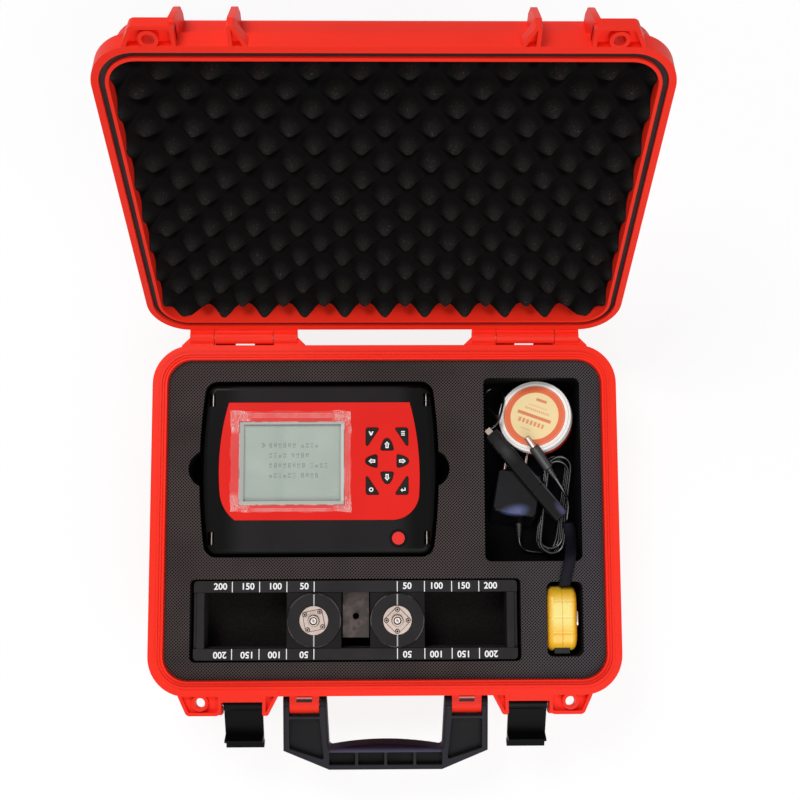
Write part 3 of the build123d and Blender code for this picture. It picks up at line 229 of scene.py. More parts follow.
plainLooks = {
    "caseRed": {
        "colour": (253, 50, 30), "shade": (243, 40, 24), "roughness": 0.46, "shine": 0.16,
        "patch": (0.16, 3, 0.35, 0.7), "share": 0.5, "marks": (0.011, 4, 0.62, 0.78, 0.7), "dull": 0.1,
        "grain": (0.0011, 2), "scatter": 0.12, "dent": (0.00006, 0.6),
    },
    "faceRed": {
        "colour": (237, 40, 33), "shade": (229, 35, 29), "roughness": 0.4, "shine": 0.09,
        "patch": (0.06, 2, 0.3, 0.75), "grain": (0.0012, 1), "scatter": 0.12, "dent": (0.00003, 0.5),
    },
    "buttonRed": {
        "colour": (240, 42, 36), "shade": (222, 32, 28), "roughness": 0.4, "shine": 0.35,
        "patch": (0.0006, 2, 0.3, 0.8), "grain": (0.0006, 2), "scatter": 0.15, "dent": (0.00004, 0.6),
    },
    "tinBody": {
        "colour": (206, 44, 26), "shade": (170, 30, 18), "roughness": 0.24,
        "fixed": {"Coat Weight": 0.4, "Coat Roughness": 0.12},
        "patch": (0.004, 3, 0.58, 0.8, 0.7), "share": 0.4, "dull": 0.22,
    },
    "boardGreen": {
        "colour": (22, 76, 40), "shade": (34, 110, 58), "roughness": 0.35,
        "cells": (0.004, 0.2, 0.3), "dull": 0.1,
    },
    "batteryBlue": {
        "colour": (38, 66, 130), "shade": (28, 52, 108), "roughness": 0.375,
        "patch": (0.01, 3, 0.3, 0.7), "grain": (0.01, 3), "scatter": 0.15, "dent": (0.0003, 0.4),
    },
}
for name, (colour, shade, roughness, size, shine) in plastics.items():
    own = {"colour": colour, "shade": shade, "roughness": roughness, "grain": (size, 2), "shine": shine}
    plainLooks[name] = {**plasticWear, **own}
for name, (colour, roughness, lines) in metals.items():
    shade = darker(colour, metalWear["darken"])
    own = {"colour": colour, "shade": shade, "roughness": roughness, "lines": lines}
    plainLooks[name] = {**metalWear, **own}
for name, (colour, roughness) in paints.items():
    shade = darker(colour, paintWear["darken"])
    own = {"colour": colour, "shade": shade, "roughness": roughness}
    plainLooks[name] = {**paintWear, **own}


def paintPlain(made, look):
    # patches take the colour to its shade and dull it, or separate marks do; a finer grain dents the surface
    patch = made.cells(*look["cells"]) if "cells" in look else made.patches(*look["patch"])
    made.give("Base Color", made.mix(patch * look.get("share", 1.0), look["colour"], look["shade"]))
    worn = made.patches(*look["marks"]) if "marks" in look else patch
    polish = look["roughness"] + worn * look.get("dull", 0.0)
    if "grain" in look:
        grain = made.noise(*look["grain"], stretch=look.get("lines", (1, 1, 1)))
        polish = polish + (grain - 0.5) * look["scatter"]
        made.bump(grain, *look["dent"])
    made.give("Roughness", polish)


# Finishes that follow a piece's shape, measured in millimetres

ruler = {
    "centre": (-27.2, -93.2), "half": (148.5, 36.0), "sliderReach": 38.15,
    "sliders": {"slider_left": -1, "slider_right": 1},
}
handleLook = {
    # the web and pocket colours are painted shade in the sunk parts, the pale grip colour a painted highlight
    "colour": (42, 41, 46), "recessShade": (24, 23, 25), "pocket": (10, 10, 11),
    "gripDark": (21, 13, 25), "gripHighlight": (76, 72, 94), "roughness": 0.5, "shine": 0.07,
    "pivot": (0.0, -170.0, 77.0), "droop": 10.0, "raised": (5.0, 8.5), "grip": (33.0, 43.0), "gripHalf": 52.0,
    "drift": (0.035, 3, 0.35, 0.7), "grain": (0.0009, 2), "dent": (0.00005, 0.5),
}


def paintHandle(made, look):
    # moulded black: the raised ribs keep the full colour while the sunk web and pockets between them are
    # darkened as painted shade, and a rougher violet-black grip runs along its inner edge under a painted
    # highlight
    x, back, level = made.axes(look["pivot"], (math.radians(-look["droop"]), 0, 0))
    along = back * -1
    drift, grain = made.patches(*look["drift"]), made.noise(*look["grain"])
    near, far = look["grip"]
    middle = abs(x).below(look["gripHalf"] - 2, look["gripHalf"])
    # painted shade on the sunk web, darker in the pockets
    sunkShade = made.mix(middle * along.above(far - 1, far), look["recessShade"], look["pocket"])
    ribs = abs(level).above(*look["raised"]) * (0.8 + drift * 0.2)
    grip = along.above(near - 3, near) * along.below(far - 0.4, far + 0.4) * middle
    # painted highlight across the far part of the grip
    gripSheen = made.mix(along.above(near + 5, far), look["gripDark"], look["gripHighlight"])
    made.give("Base Color", made.layers(sunkShade, (ribs, look["colour"]), (grip, gripSheen)))
    made.give("Roughness", look["roughness"] + (drift - 0.5) * 0.1 + (grain - 0.5) * 0.14 + grip * 0.25)
    made.bump(grain, *look["dent"])


capLook = {
    # the edge colour is a painted highlight on the rim
    "colour": (37, 35, 36), "shade": (29, 27, 27), "edge": (112, 109, 109), "roughness": 0.42, "shine": 0.12,
    "rim": (23.8, 24.05), "ringPitch": 0.9, "drift": (0.035, 3, 0.35, 0.7), "rimGlints": (0.014, 2, 0.4, 0.62),
    "grain": (0.0006, 2), "dent": (0.00005, 0.5),
}


def paintCap(made, look):
    # turned plastic: faint rings round each slider's axis, and a painted highlight on the rim's chamfer,
    # broken into patches
    x, north = made.axes((*ruler["centre"], 0))[:2]
    east = abs(x) - ruler["sliderReach"]
    radius = (east * east + north * north) ** 0.5
    drift, grain = made.patches(*look["drift"]), made.noise(*look["grain"])
    # painted highlight on the rim, in patches
    rim = radius.above(*look["rim"]) * made.patches(*look["rimGlints"]) * 0.8
    made.give("Base Color", made.layers(look["colour"], (drift, look["shade"]), (rim, look["edge"])))
    made.give("Roughness", look["roughness"] + (drift - 0.5) * 0.1 + (grain - 0.5) * 0.14)
    made.bump(grain + radius.wave(look["ringPitch"]) * 0.2, *look["dent"])


glossWear = {"drift": (0.02, 3, 0.35, 0.7), "grain": (0.001, 2), "scatter": 0.1, "dent": (0.00004, 0.4)}
glossShells = {
    # each painted sheen: centre, turn, stretch, inner and outer radius, colour
    "adapterBlack": {
        **glossWear, "colour": (17, 17, 20), "shade": (9, 9, 11), "roughness": 0.24, "shine": 0.18,
        "paintedSheens": (((121.5, 5.5, 78.0), -10.0, (0.5, 1.0, 1.0), 0.5, 9.0, (104, 110, 156)),),
    },
    "stickBlack": {
        **glossWear, "colour": (16, 16, 18), "shade": (10, 10, 12), "roughness": 0.2, "shine": 0.16,
        "paintedSheens": (
            ((149.3, 29.0, 88.0), 50.0, (0.03, 1.0, 0.3), 0.2, 1.2, (100, 100, 116)),
            ((164.2, 7.7, 88.0), 50.0, (0.5, 1.0, 0.5), 0.3, 5.5, (84, 84, 116)),
            ((112.3, 63.3, 88.0), 50.0, (0.4, 1.0, 0.3), 0.5, 8.0, (58, 57, 58)),
        ),
    },
}


def paintGloss(made, look):
    # polished black with painted reflections: pale patches and streaks of painted sheen
    drift, grain = made.patches(*look["drift"]), made.noise(*look["grain"])
    body = made.mix(drift, look["colour"], look["shade"])
    for centre, turn, stretch, near, far, sheen in look["paintedSheens"]:
        facing = made.placeInMm(centre, (0, 0, math.radians(turn)))
        away = made.distance(made.node("ShaderNodeMapping", {}, {0: facing, 3: stretch}))
        # each painted sheen lightens the black towards its colour
        body = made.mix(away.below(near, far) * (0.5 + drift * 0.5), body, sheen)
    made.give("Base Color", body)
    made.give("Roughness", look["roughness"] + (grain - 0.5) * look["scatter"])
    made.bump(grain, *look["dent"])


testerLook = {
    "colour": (38, 36, 37), "shade": (33, 31, 32), "edge": (2, 2, 2), "roughness": 0.52, "gloss": 0.4,
    "shine": 0.05, "coat": 0.05, "fixed": {"Coat Roughness": 0.08},
    # the roll range fades the flat top to the black of the ends, painted shade where they roll away
    "top": (96.9, 98.25), "middle": -61.0, "rollShade": (68.0, 91.0),
    "drift": (0.05, 3, 0.3, 0.75), "grain": (0.0007, 2), "scatter": 0.1, "dent": (0.00004, 0.5),
}


def paintTester(made, look):
    # matte on the flat top, polished black at both ends and where the corners roll over; the fade to that
    # black begins on the flat top as painted shade
    x, level = made.axes()[::2]
    flat = level.above(*look["top"]) * abs(x - look["middle"]).below(*look["rollShade"])
    grain = made.noise(*look["grain"])
    topColour = made.mix(made.patches(*look["drift"]), look["colour"], look["shade"])
    polish = look["gloss"] + flat * (look["roughness"] - look["gloss"])
    made.give("Base Color", made.mix(flat, look["edge"], topColour))
    made.give("Roughness", polish + (grain - 0.5) * look["scatter"])
    made.give("Coat Weight", (1 - flat) * look["coat"])
    made.bump(grain * flat, *look["dent"])


foamLook = {
    "colour": (80, 71, 70), "worn": (68, 60, 59), "cool": (79, 76, 81), "gap": (12, 10, 10),
    "cut": (9, 8, 8), "bay": (34, 31, 30), "pore": (4, 4, 4), "roughness": 0.82, "shine": 0.08,
    "pitch": 2.1 * math.sqrt(2), "top": (96.1, 96.7), "coolFrom": (60, 190), "bayBefore": (-56, -50),
    "drift": (0.06, 2, 0.3, 0.75), "fuzz": (0.0008, 2), "pores": (0.0009, 0.15, 0.6), "holes": (0.08, 0.5),
    "dent": (0.00022, 0.7),
}


def paintBaseFoam(made, look):
    # laminated top with a diagonal diamond weave; the cut walls and floors are open black foam
    x, y, z = made.axes()
    along = (x - y).wave(look["pitch"]) * 0.5 + 0.5
    across = (x + y).wave(look["pitch"]) * 0.5 + 0.5
    holes = (along * (0.15 + across * 0.85)).above(*look["holes"])
    fuzz, pores = made.noise(*look["fuzz"]), made.cells(*look["pores"])
    skin = made.layers(
        look["colour"], (made.patches(*look["drift"]), look["worn"]),
        (x.above(*look["coolFrom"]) * 0.8, look["cool"]), (holes, look["gap"]),
    )
    cut = made.mix(y.below(*look["bayBefore"]), look["cut"], look["bay"])
    top = z.above(*look["top"])
    made.give("Base Color", made.layers(look["pore"], (pores, cut), (top, skin)))
    made.give("Roughness", look["roughness"] + fuzz * 0.12)
    made.bump((1 - holes) * top + fuzz * 0.3 + pores * (1 - top), *look["dent"])


lidFoamTones = {
    # the valley colour is painted shade, the tip colour painted light on the peaks
    "colour": (22, 20, 20), "valleyShade": (5, 5, 5), "tip": (37, 35, 34), "tipSpecks": (100, 96, 94),
    "roughness": 0.88, "shine": 0.03, "slopes": (0.0, 0.45), "tips": (0.55, 1.0),
    "pores": (0.0011, 0.1, 0.6), "fuzz": (0.0016, 3), "specks": (0.0012, 2, 0.62, 0.74),
    "dent": (0.00035, 0.7),
}


def paintLidFoam(made, look):
    # open-cell black foam: painted shade in the valleys and under each peak, painted light on the peaks with
    # pale specks there, pores in the bump
    paintedShading = made.node("ShaderNodeAttribute", {"attribute_name": "paintedShading"}, output="Fac")
    pores, fuzz = made.cells(*look["pores"]), made.noise(*look["fuzz"])
    tips = paintedShading.above(*look["tips"])
    tipSpecks = made.patches(*look["specks"]) * tips
    made.give("Base Color", made.layers(
        look["valleyShade"], (paintedShading.above(*look["slopes"]), look["colour"]),
        (tips * (0.45 + pores * 0.55), look["tip"]), (tipSpecks * 0.6, look["tipSpecks"]),
    ))
    made.give("Roughness", look["roughness"] + fuzz * 0.1)
    made.bump(pores + fuzz * 0.7, *look["dent"])


plateLook = {
    "colour": (60, 55, 53), "smudge": (38, 35, 34), "paleSheen": (86, 76, 74), "roughness": 0.4,
    "fixed": {"Metallic": 1.0}, "brushed": (0.02, 3, 0.6), "lines": (50, 2, 10),
    "smudges": (0.011, 3, 0.5, 0.68, 0.6), "clouds": (0.015, 2), "cloudShift": (0.05, 0.03, 0),
    "cloudEdge": (0.5, 0.66), "dent": (0.00003, 0.5),
}


def paintPlate(made, look):
    # a plain brushed plate, mottled with handling smudges and pale clouds of painted reflection
    lines = made.noise(*look["brushed"], stretch=look["lines"])
    smudge = made.patches(*look["smudges"])
    # painted reflection in pale clouds
    paleSheen = made.noise(*look["clouds"], centre=look["cloudShift"]).above(*look["cloudEdge"])
    body = made.layers(look["colour"], (paleSheen * 0.7, look["paleSheen"]), (smudge * 0.8, look["smudge"]))
    made.give("Base Color", body)
    made.give("Roughness", look["roughness"] + (lines - 0.5) * 0.16 - paleSheen * 0.08)
    made.bump(lines, *look["dent"])


lcdLook = {
    "colour": (166, 180, 170), "clear": (178, 191, 181), "grid": (146, 160, 150), "streak": (152, 172, 158),
    "frame": (198, 202, 196), "line": (118, 124, 118), "roughness": 0.36, "shine": 0.2,
    "centre": (-86.4, 50.5, 95.5), "half": (44.6, 35.2), "pixel": 0.7, "gridEdge": (0.75, 1.0),
    "drift": (0.04, 2, 0.3, 0.75), "streakAt": -12.0, "streakEdge": (2.0, 9.0),
    "frameEdge": (0.1, 0.3), "seamEdge": (0.25, 0.55), "seamEnd": (0.0, 30.0),
}


def paintLcd(made, look):
    # grey-green cell with a pale frame, a thin dark seam between them and a faint pixel grid
    x, y = made.axes(look["centre"])[:2]
    past = (abs(x) - look["half"][0]).larger(abs(y) - look["half"][1])
    grid = x.wave(look["pixel"]).larger(y.wave(look["pixel"])).above(*look["gridEdge"])
    streak = (x - look["streakAt"]).line(*look["streakEdge"]) * 0.3
    seam = past.line(*look["seamEdge"]) * x.below(*look["seamEnd"]) * 0.12
    made.give("Base Color", made.layers(
        look["colour"], (made.patches(*look["drift"]), look["clear"]), (grid * 0.12, look["grid"]),
        (streak, look["streak"]), (past.above(*look["frameEdge"]), look["frame"]), (seam, look["line"]),
    ))
    made.give("Roughness", look["roughness"] + grid * 0.06)


windowLook = {
    "colour": (232, 238, 234), "edge": (112, 112, 108), "roughness": 0.05, "shine": 0.35,
    "fixed": {"IOR": 1.45}, "centre": (-86.4, 50.5, 98.0), "half": (48.65, 38.55),
    "smears": (0.02, 3, 0.5, 0.8), "blur": (0.15, 0.25), "edgeWidth": (0.4, 0.7), "haze": 0.06,
    # each side of the printed frame: its colour, which holds painted light and shade that differ by side, and
    # its width
    "frame": {
        "right": ((200, 206, 198), 3.0), "top": ((180, 180, 174), 2.6),
        "left": ((174, 175, 169), 4.2), "bottom": ((182, 184, 174), 3.4),
    },
}


def paintWindow(made, look):
    # clear acrylic: a frame printed along its border with painted shade differing from side to side, the rest
    # see-through with smears
    x, y = made.axes(look["centre"])[:2]
    halfX, halfY = look["half"]
    depths = {"left": x + halfX, "right": halfX - x, "top": halfY - y, "bottom": y + halfY}
    smear = made.patches(*look["smears"])
    shown, covered = look["colour"], look["haze"] + smear * 0.04
    # each side's colour carries its own painted shade
    for side, (paintedShading, reach) in look["frame"].items():
        mask = depths[side].below(reach - look["blur"][0], reach + look["blur"][1])
        shown = made.mix(mask, shown, paintedShading)
        covered = covered.larger(mask)
    nearest = depths["left"].smaller(depths["right"]).smaller(depths["top"]).smaller(depths["bottom"])
    made.give("Base Color", made.mix(nearest.below(*look["edgeWidth"]) * 0.8, shown, look["edge"]))
    made.give("Alpha", covered)
    made.give("Roughness", look["roughness"] + smear * 0.1 + covered * 0.2)


filmFinish = {
    "colour": (255, 238, 234), "roughness": 0.2, "shine": 0.2, "fixed": {"IOR": 1.4}, "dent": (0.0003, 0.5),
    "centre": windowLook["centre"], "half": windowLook["half"],
    # each strip of painted highlight: axis, side, inner and outer edge from the window, half length, share of
    # cover
    "strips": (
        ("y", 1, 3.6, 8.2, 37.0, 0.75), ("y", -1, 2.8, 6.0, 37.0, 0.75),
        ("x", -1, 0.5, 7.4, 28.0, 0.15), ("x", 1, 0.5, 5.7, 28.0, 0.5),
    ),
    "soft": 0.4, "stripEdge": (0.15, 0.5), "stripMiddle": (0.1, 0.5), "stripEnd": 3.0,
    "crease": (0.004, 0.03), "slow": (0.02, 2, 0.36, 0.66), "glints": (0.012, 2, 0.44, 0.56),
    "cornerFrom": (-13, -6),
    "shape": {"turn": (0, 0, 0.6), "stretch": (1, 0.5, 1)},
    "other": {"centre": (0.01, 0.02, 0), "turn": (0, 0, -0.8), "stretch": (1, 0.45, 1)},
}


def paintFilm(made, look):
    # thin clear film: see-through over the screen, with painted highlights in pale strips along its border,
    # painted glints at the window's edge and painted highlights in its crumpled corners
    x, y = made.axes(look["centre"])[:2]
    halfX, halfY = look["half"]
    runs = {"x": (x, halfX, abs(y)), "y": (y, halfY, abs(x))}
    sideX, sideY = abs(x) - halfX, abs(y) - halfY
    past, near = sideX.larger(sideY), sideX.smaller(sideY)
    slow, soft, end = made.patches(*look["slow"]), look["soft"], look["stripEnd"]
    cover = 0.02 + past.above(0.2, 0.6) * 0.04
    for axis, side, low, high, span, share in look["strips"]:
        run, half, along = runs[axis]
        out = run * side - half
        inside = out.above(low, low + soft) * out.below(high - soft, high)
        inside = inside * along.below(span - end, span + end)
        inner, outer = ((out - spot).line(*look["stripEdge"]) for spot in (low + soft, high - 0.5))
        edges = inner.larger(outer)
        middle = (out - (low + high) / 2).line(*look["stripMiddle"])
        # painted highlight along each strip, brighter at its edges
        stripSheen = 0.09 + slow * 0.08 + edges * (0.08 + slow * 0.16) + middle * slow * 0.1
        cover = cover + inside * stripSheen * share
    shape = made.noise(0.006, 2, 0.55, **look["shape"])
    other = made.noise(0.005, 2, 0.55, **look["other"])
    crease = (shape - 0.5).line(*look["crease"]).larger((other - 0.5).line(*look["crease"]))
    # painted highlights where the film crumples at its corners
    corner = near.above(*look["cornerFrom"]) * past.above(0.3, 0.8)
    rim = (past + 0.2).line(0.2, 0.6) * made.patches(*look["glints"])
    folds = corner * (0.06 + crease * 0.26 + shape.above(0.52, 0.6) * 0.16 + other.above(0.58, 0.64) * 0.3)
    made.give("Alpha", cover + folds + rim * 0.5)
    made.give("Roughness", look["roughness"] + shape * 0.2)
    made.bump(shape * corner, *look["dent"])


tinLook = {
    "colour": (255, 252, 249), "ring": (240, 106, 54), "halo": (244, 170, 120), "cream": (255, 228, 168),
    "bar": (230, 112, 66), "bead": (186, 178, 174), "scuff": (250, 246, 240), "roughness": 0.34,
    "shine": 0.16, "scuffs": (0.004, 3, 0.6, 0.8, 0.7), "blockEdge": (-0.55, -0.25),
    "centre": (147.6, 92.1, 61.405), "turn": 150.0, "lean": 19.3, "label": 173.0, "top": (20.2, 20.6),
    "inRing": (29.25, 29.55), "inDisc": (22.75, 23.05), "beadRadius": 32.3, "beadEdge": (0.12, 0.4),
    "haloRadius": 28.1, "haloEdge": (0.15, 0.4), "barEdge": (-0.1, 0.15),
    # each row: height and middle on the label, half length, half height, cover, pitch of its blocks
    "rows": (
        (16.0, 0.8, 5.2, 1.3, 0.85, 0.0), (9.4, 0.0, 9.5, 0.7, 0.4, 1.6),
        (5.4, 0.4, 12.5, 1.1, 0.55, 2.0), (-0.6, 0.0, 16.8, 1.5, 0.9, 0.0),
        (-7.2, -1.4, 13.6, 2.1, 0.75, 3.9), (-14.4, -3.0, 5.0, 0.8, 0.4, 1.7),
    ),
}


def paintTinLid(made, look):
    # printed lid: white rim, orange ring, cream disc with plain bars and blocks, all measured from its axis
    flat = made.placeInMm(look["centre"], (0, 0, math.radians(-look["turn"])))
    leant = (0, math.radians(-look["lean"]), 0)
    x, y, z = made.split(made.node("ShaderNodeMapping", {}, {0: flat, 2: leant}))
    radius = (x * x + y * y) ** 0.5
    top = z.above(*look["top"])
    inRing, inDisc = (radius.below(*look[part]) * top for part in ("inRing", "inDisc"))
    bead = (radius - look["beadRadius"]).line(*look["beadEdge"]) * top
    halo = (radius - look["haloRadius"]).line(*look["haloEdge"]) * inRing
    printed = made.layers(
        look["colour"], (bead * 0.7, look["bead"]), (inRing, look["ring"]), (halo * 0.5, look["halo"]),
        (inDisc, look["cream"]),
    )
    c, s = math.cos(math.radians(look["label"])), math.sin(math.radians(look["label"]))
    along, up = x * c - y * s, x * s + y * c
    for height, middle, halfLength, halfHeight, cover, pitch in look["rows"]:
        reach = along - middle
        inBar = (abs(reach) - halfLength).larger(abs(up - height) - halfHeight)
        mask = inBar.below(*look["barEdge"]) * inDisc * cover
        if pitch:
            mask = mask * reach.wave(pitch).above(*look["blockEdge"])
        printed = made.mix(mask, printed, look["bar"])
    scuff = made.patches(*look["scuffs"])
    made.give("Base Color", made.mix(scuff * 0.15, printed, look["scuff"]))
    made.give("Roughness", look["roughness"] + scuff * 0.15)


tapeLook = {
    # the pale colour is a painted highlight, the deep colour painted shade on the rolled sides
    "colour": (253, 202, 56), "shade": (250, 188, 38), "groove": (222, 150, 18), "paleSheen": (255, 242, 152),
    "deep": (240, 160, 14), "roughness": 0.26, "pitch": 14.5, "first": -95.0, "bandEdge": (0.86, 1.0),
    "seam": 162.2, "seamEdge": (0.15, 0.45), "rolledLeft": (-13.4, -11), "rolledRight": (9, 14),
    "highlightFrom": ((-12, -7), (-109, -92)), "highlightTo": ((6, 12), (-82, -70)),
    "drift": (0.02, 3, 0.3, 0.75), "grain": (0.0008, 2), "scatter": 0.12, "dent": (0.0003, 0.6),
}


def paintTape(made, look):
    # soft-touch yellow with shallow moulded bands across its edge and the seam of its two halves, a painted
    # highlight across its upper middle and painted shade deepening the colour where its sides roll away
    x, y = made.axes()[:2]
    side = x - look["seam"]
    seam = side.line(*look["seamEdge"])
    bands = (y - look["first"]).wave(look["pitch"]).above(*look["bandEdge"])
    grain = made.noise(*look["grain"])
    # painted highlight over the upper middle
    spans = zip((side, y), look["highlightFrom"], look["highlightTo"])
    highlightAcross, highlightAlong = (run.above(*start) * run.below(*stop) for run, start, stop in spans)
    # painted shade on the rolled sides
    rolledShade = side.below(*look["rolledLeft"]).larger(side.above(*look["rolledRight"]))
    made.give("Base Color", made.layers(
        look["colour"], (made.patches(*look["drift"]), look["shade"]),
        (highlightAcross * highlightAlong * 0.8, look["paleSheen"]), (rolledShade, look["deep"]),
        ((bands * 0.12).larger(seam * 0.45), look["groove"]),
    ))
    made.give("Roughness", look["roughness"] + (grain - 0.5) * look["scatter"])
    made.bump(grain * 0.2 - bands - seam, *look["dent"])


webLook = {
    "colour": (14, 14, 20), "low": (4, 4, 7), "high": (19, 19, 31), "roughness": 0.5, "shine": 0.12,
    "across": 1.1, "along": 0.9, "dent": (0.00018, 0.8),
}


def paintWebbing(made, look):
    # woven nylon: a fine over-and-under on the ribbon's own UV map
    u, v = made.split(made.node("ShaderNodeUVMap", {"uv_map": "weave"}))[:2]
    weave = v.wave(look["along"]) * u.wave(look["across"]) * 0.5 + 0.5
    made.give("Base Color", made.mix(weave, look["low"], look["high"]))
    made.give("Roughness", look["roughness"] + weave * 0.15)
    made.bump(weave, *look["dent"])


painted = {
    "handleBlack": (paintHandle, handleLook), "capGrey": (paintCap, capLook),
    "testerShell": (paintTester, testerLook), "baseFoam": (paintBaseFoam, foamLook),
    "lidFoam": (paintLidFoam, lidFoamTones), "blankPlate": (paintPlate, plateLook),
    "lcdCell": (paintLcd, lcdLook), "windowClear": (paintWindow, windowLook),
    "filmClear": (paintFilm, filmFinish), "tinLid": (paintTinLid, tinLook),
    "tapeYellow": (paintTape, tapeLook), "webbing": (paintWebbing, webLook),
}
painted.update({name: (paintGloss, look) for name, look in glossShells.items()})
painted.update({name: (paintPlain, look) for name, look in plainLooks.items()})
finishes = {}
for name, (paint, look) in painted.items():
    made = Finish(name, look)
    paint(made, look)
    finishes[name] = made.material
print("finishes made:", len(finishes))


# Building helpers

hardAngle = math.radians(32.0)   # edges sharper than this stay crisp and are rounded


def adjust(thing, **settings):
    for key, value in settings.items():
        setattr(thing, key, value)


def newPiece(name, mesh, finish, body):
    piece = bpy.data.objects.new(name, mesh)
    scene.collection.objects.link(piece)
    mesh.materials.clear()
    mesh.materials.append(finishes[finish])
    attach(piece, body)
    return piece


def meshOf(name, points, faces, smooth=True):
    mesh = bpy.data.meshes.new(name)
    mesh.from_pydata(np.asarray(points).tolist(), [], faces)
    mesh.update()
    if smooth:
        mesh.shade_smooth()
    return mesh


def gridFaces(rows, columns, closedRows=False, closedColumns=False):
    # quads between neighbouring rows and columns of a grid of points
    i = np.arange(rows if closedRows else rows - 1)
    j = np.arange(columns if closedColumns else columns - 1)
    i, j = np.meshgrid(i, j, indexing="ij")
    nextI, nextJ = (i + 1) % rows, (j + 1) % columns
    corners = [i * columns + j, i * columns + nextJ, nextI * columns + nextJ, nextI * columns + j]
    return np.stack(corners, -1).reshape(-1, 4).tolist()


def smoothStep(share):
    share = np.clip(share, 0, 1)
    return share * share * (3 - 2 * share)


def prism(outlines, low, high):
    # outlines drawn anticlockwise, each raised from low to high
    points, faces = [], []
    for outline in outlines:
        count, first = len(outline), len(points)
        points += [(x, y, low) for x, y in outline] + [(x, y, high) for x, y in outline]
        faces.append(list(range(first + count - 1, first - 1, -1)))
        faces.append(list(range(first + count, first + 2 * count)))
        faces += [
            [first + i, first + (i + 1) % count, first + count + (i + 1) % count, first + count + i]
            for i in range(count)
        ]
    return np.array(points), faces


def roundEdges(piece, width):
    adjust(
        piece.modifiers.new("rounding", "BEVEL"), width=width, segments=2, limit_method="ANGLE",
        angle_limit=hardAngle, harden_normals=True, use_clamp_overlap=True, miter_outer="MITER_ARC",
    )


rulerCorners = {
    "reach": 5.0, "upright": 0.01, "segments": 6,
    "radius": {"ruler_rail_back": 3.6, "ruler_rail_front": 3.6, "base_foam": 4.6},
}


def atRulerCorner(edge, look):
    # an upright edge near an outer corner of the ruler frame
    first, second = edge.verts[0].co / mm, edge.verts[1].co / mm
    east = abs(abs(first.x - ruler["centre"][0]) - ruler["half"][0])
    north = abs(abs(first.y - ruler["centre"][1]) - ruler["half"][1])
    return (first - second).xy.length < look["upright"] and max(east, north) < look["reach"]


cleanUp = {"merge": 0.002 * mm, "flat": math.radians(0.4)}


def softCopy(nodeName, width, finish, body):
    # the node's own shape with its hard corners broken to a small round
    mesh = nodes[nodeName].data.copy()
    for spare in ("custom_normal", "sharp_face", "sharp_edge"):
        if spare in mesh.attributes:
            mesh.attributes.remove(mesh.attributes[spare])
    shape = bmesh.new()
    shape.from_mesh(mesh)
    bmesh.ops.remove_doubles(shape, verts=shape.verts, dist=cleanUp["merge"])
    bmesh.ops.dissolve_limit(shape, angle_limit=cleanUp["flat"], verts=shape.verts, edges=shape.edges)
    if nodeName in rulerCorners["radius"]:
        standing = [edge for edge in shape.edges if atRulerCorner(edge, rulerCorners)]
        radius, steps = rulerCorners["radius"][nodeName] * mm, rulerCorners["segments"]
        bmesh.ops.bevel(shape, geom=standing, offset=radius, segments=steps, profile=0.5, affect="EDGES")
        print("upright corners rounded on", nodeName + ":", len(standing))
    shape.to_mesh(mesh)
    shape.free()
    mesh.shade_smooth()
    mesh.set_sharp_from_angle(angle=hardAngle)
    piece = newPiece(nodeName + ".finished", mesh, finish, body)
    roundEdges(piece, width)
    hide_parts(nodeName)
    return piece


def dress(nodeName, finish):
    # the CAD node keeps its own shape and takes the finish on all its slots
    mesh = nodes[nodeName].data
    if not mesh.materials:
        mesh.materials.append(finishes[finish])
    for i in range(len(mesh.materials)):
        mesh.materials[i] = finishes[finish]


# Camera and cords

cameraLook = {
    "place": (-1.49 * mm, -15.07 * mm, 1197.6 * mm), "turns": {"X": 6.449, "Y": -0.806, "Z": -0.126},
    "lens": 53.38, "sensor": 36.0,
}


def makeCamera(look):
    # from above, pitched, yawed and rolled about its own axes
    data = bpy.data.cameras.new("camera")
    adjust(data, lens=look["lens"], sensor_width=look["sensor"])
    camera = bpy.data.objects.new("camera", data)
    placed = Matrix.Translation(look["place"])
    for axis, degrees in look["turns"].items():
        placed = placed @ Matrix.Rotation(math.radians(degrees), 4, axis)
    camera.matrix_world = placed
    scene.collection.objects.link(camera)
    scene.camera = camera


makeCamera(cameraLook)


def routeSpline(name, points):
    # one smooth NURBS line whose control points are the route's points, in millimetres
    line = bpy.data.curves.new(name, "CURVE")
    line.dimensions = "3D"
    spline = line.splines.new("NURBS")
    spline.points.add(len(points) - 1)
    spots = np.ones((len(points), 4))
    spots[:, :3] = np.asarray(points) * mm
    spline.points.foreach_set("co", spots.ravel())
    adjust(spline, order_u=3, use_endpoint_u=True)
    line.resolution_u = 8
    return line


def cordPiece(name, points, radius, finish, body):
    line = routeSpline(name, points)
    adjust(line, bevel_depth=radius, bevel_resolution=4, use_fill_caps=True)
    line.materials.append(finishes[finish])
    piece = bpy.data.objects.new(name, line)
    scene.collection.objects.link(piece)
    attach(piece, body)
    return piece


chargerCord = {
    "adapterEnd": [
        (128, -18.13, 57), (128, -23.93, 56.4), (130.9, -29.03, 55), (135.9, -31.93, 53.2),
        (150.29, -33.12, 51.8),
    ],
    "plugEnd": [
        (170.98, -13.82, 66.6), (172.23, -4.9, 66.6), (174, 14.75, 74), (165.75, 27.86, 85.1),
        (159.43, 36.65, 87),
    ],
    "entry": [(159.8, -34.0, 51.8), (166.6, -30.8, 51.8)],
    "middle": (159.8, 13.0), "lean": 8.0, "left": 149.8, "right": 169.8, "fan": 1.2,
    "low": -24.0, "high": 50.0, "waist": 14.0, "start": 8.0, "steps": 7,
    "level": 51.8, "layer": 3.7, "loops": 4,
    "topSlack": (0.0, 3.0, 6.0, 1.5), "bottomSlack": (3.0, 0.5, 6.0, 1.5), "sideSlack": (0.0, 1.2, 0.4, 2.0),
    "sway": (0.8, -1.0, 1.4, -0.6), "length": 0.996, "radius": 1.5 * mm,
}


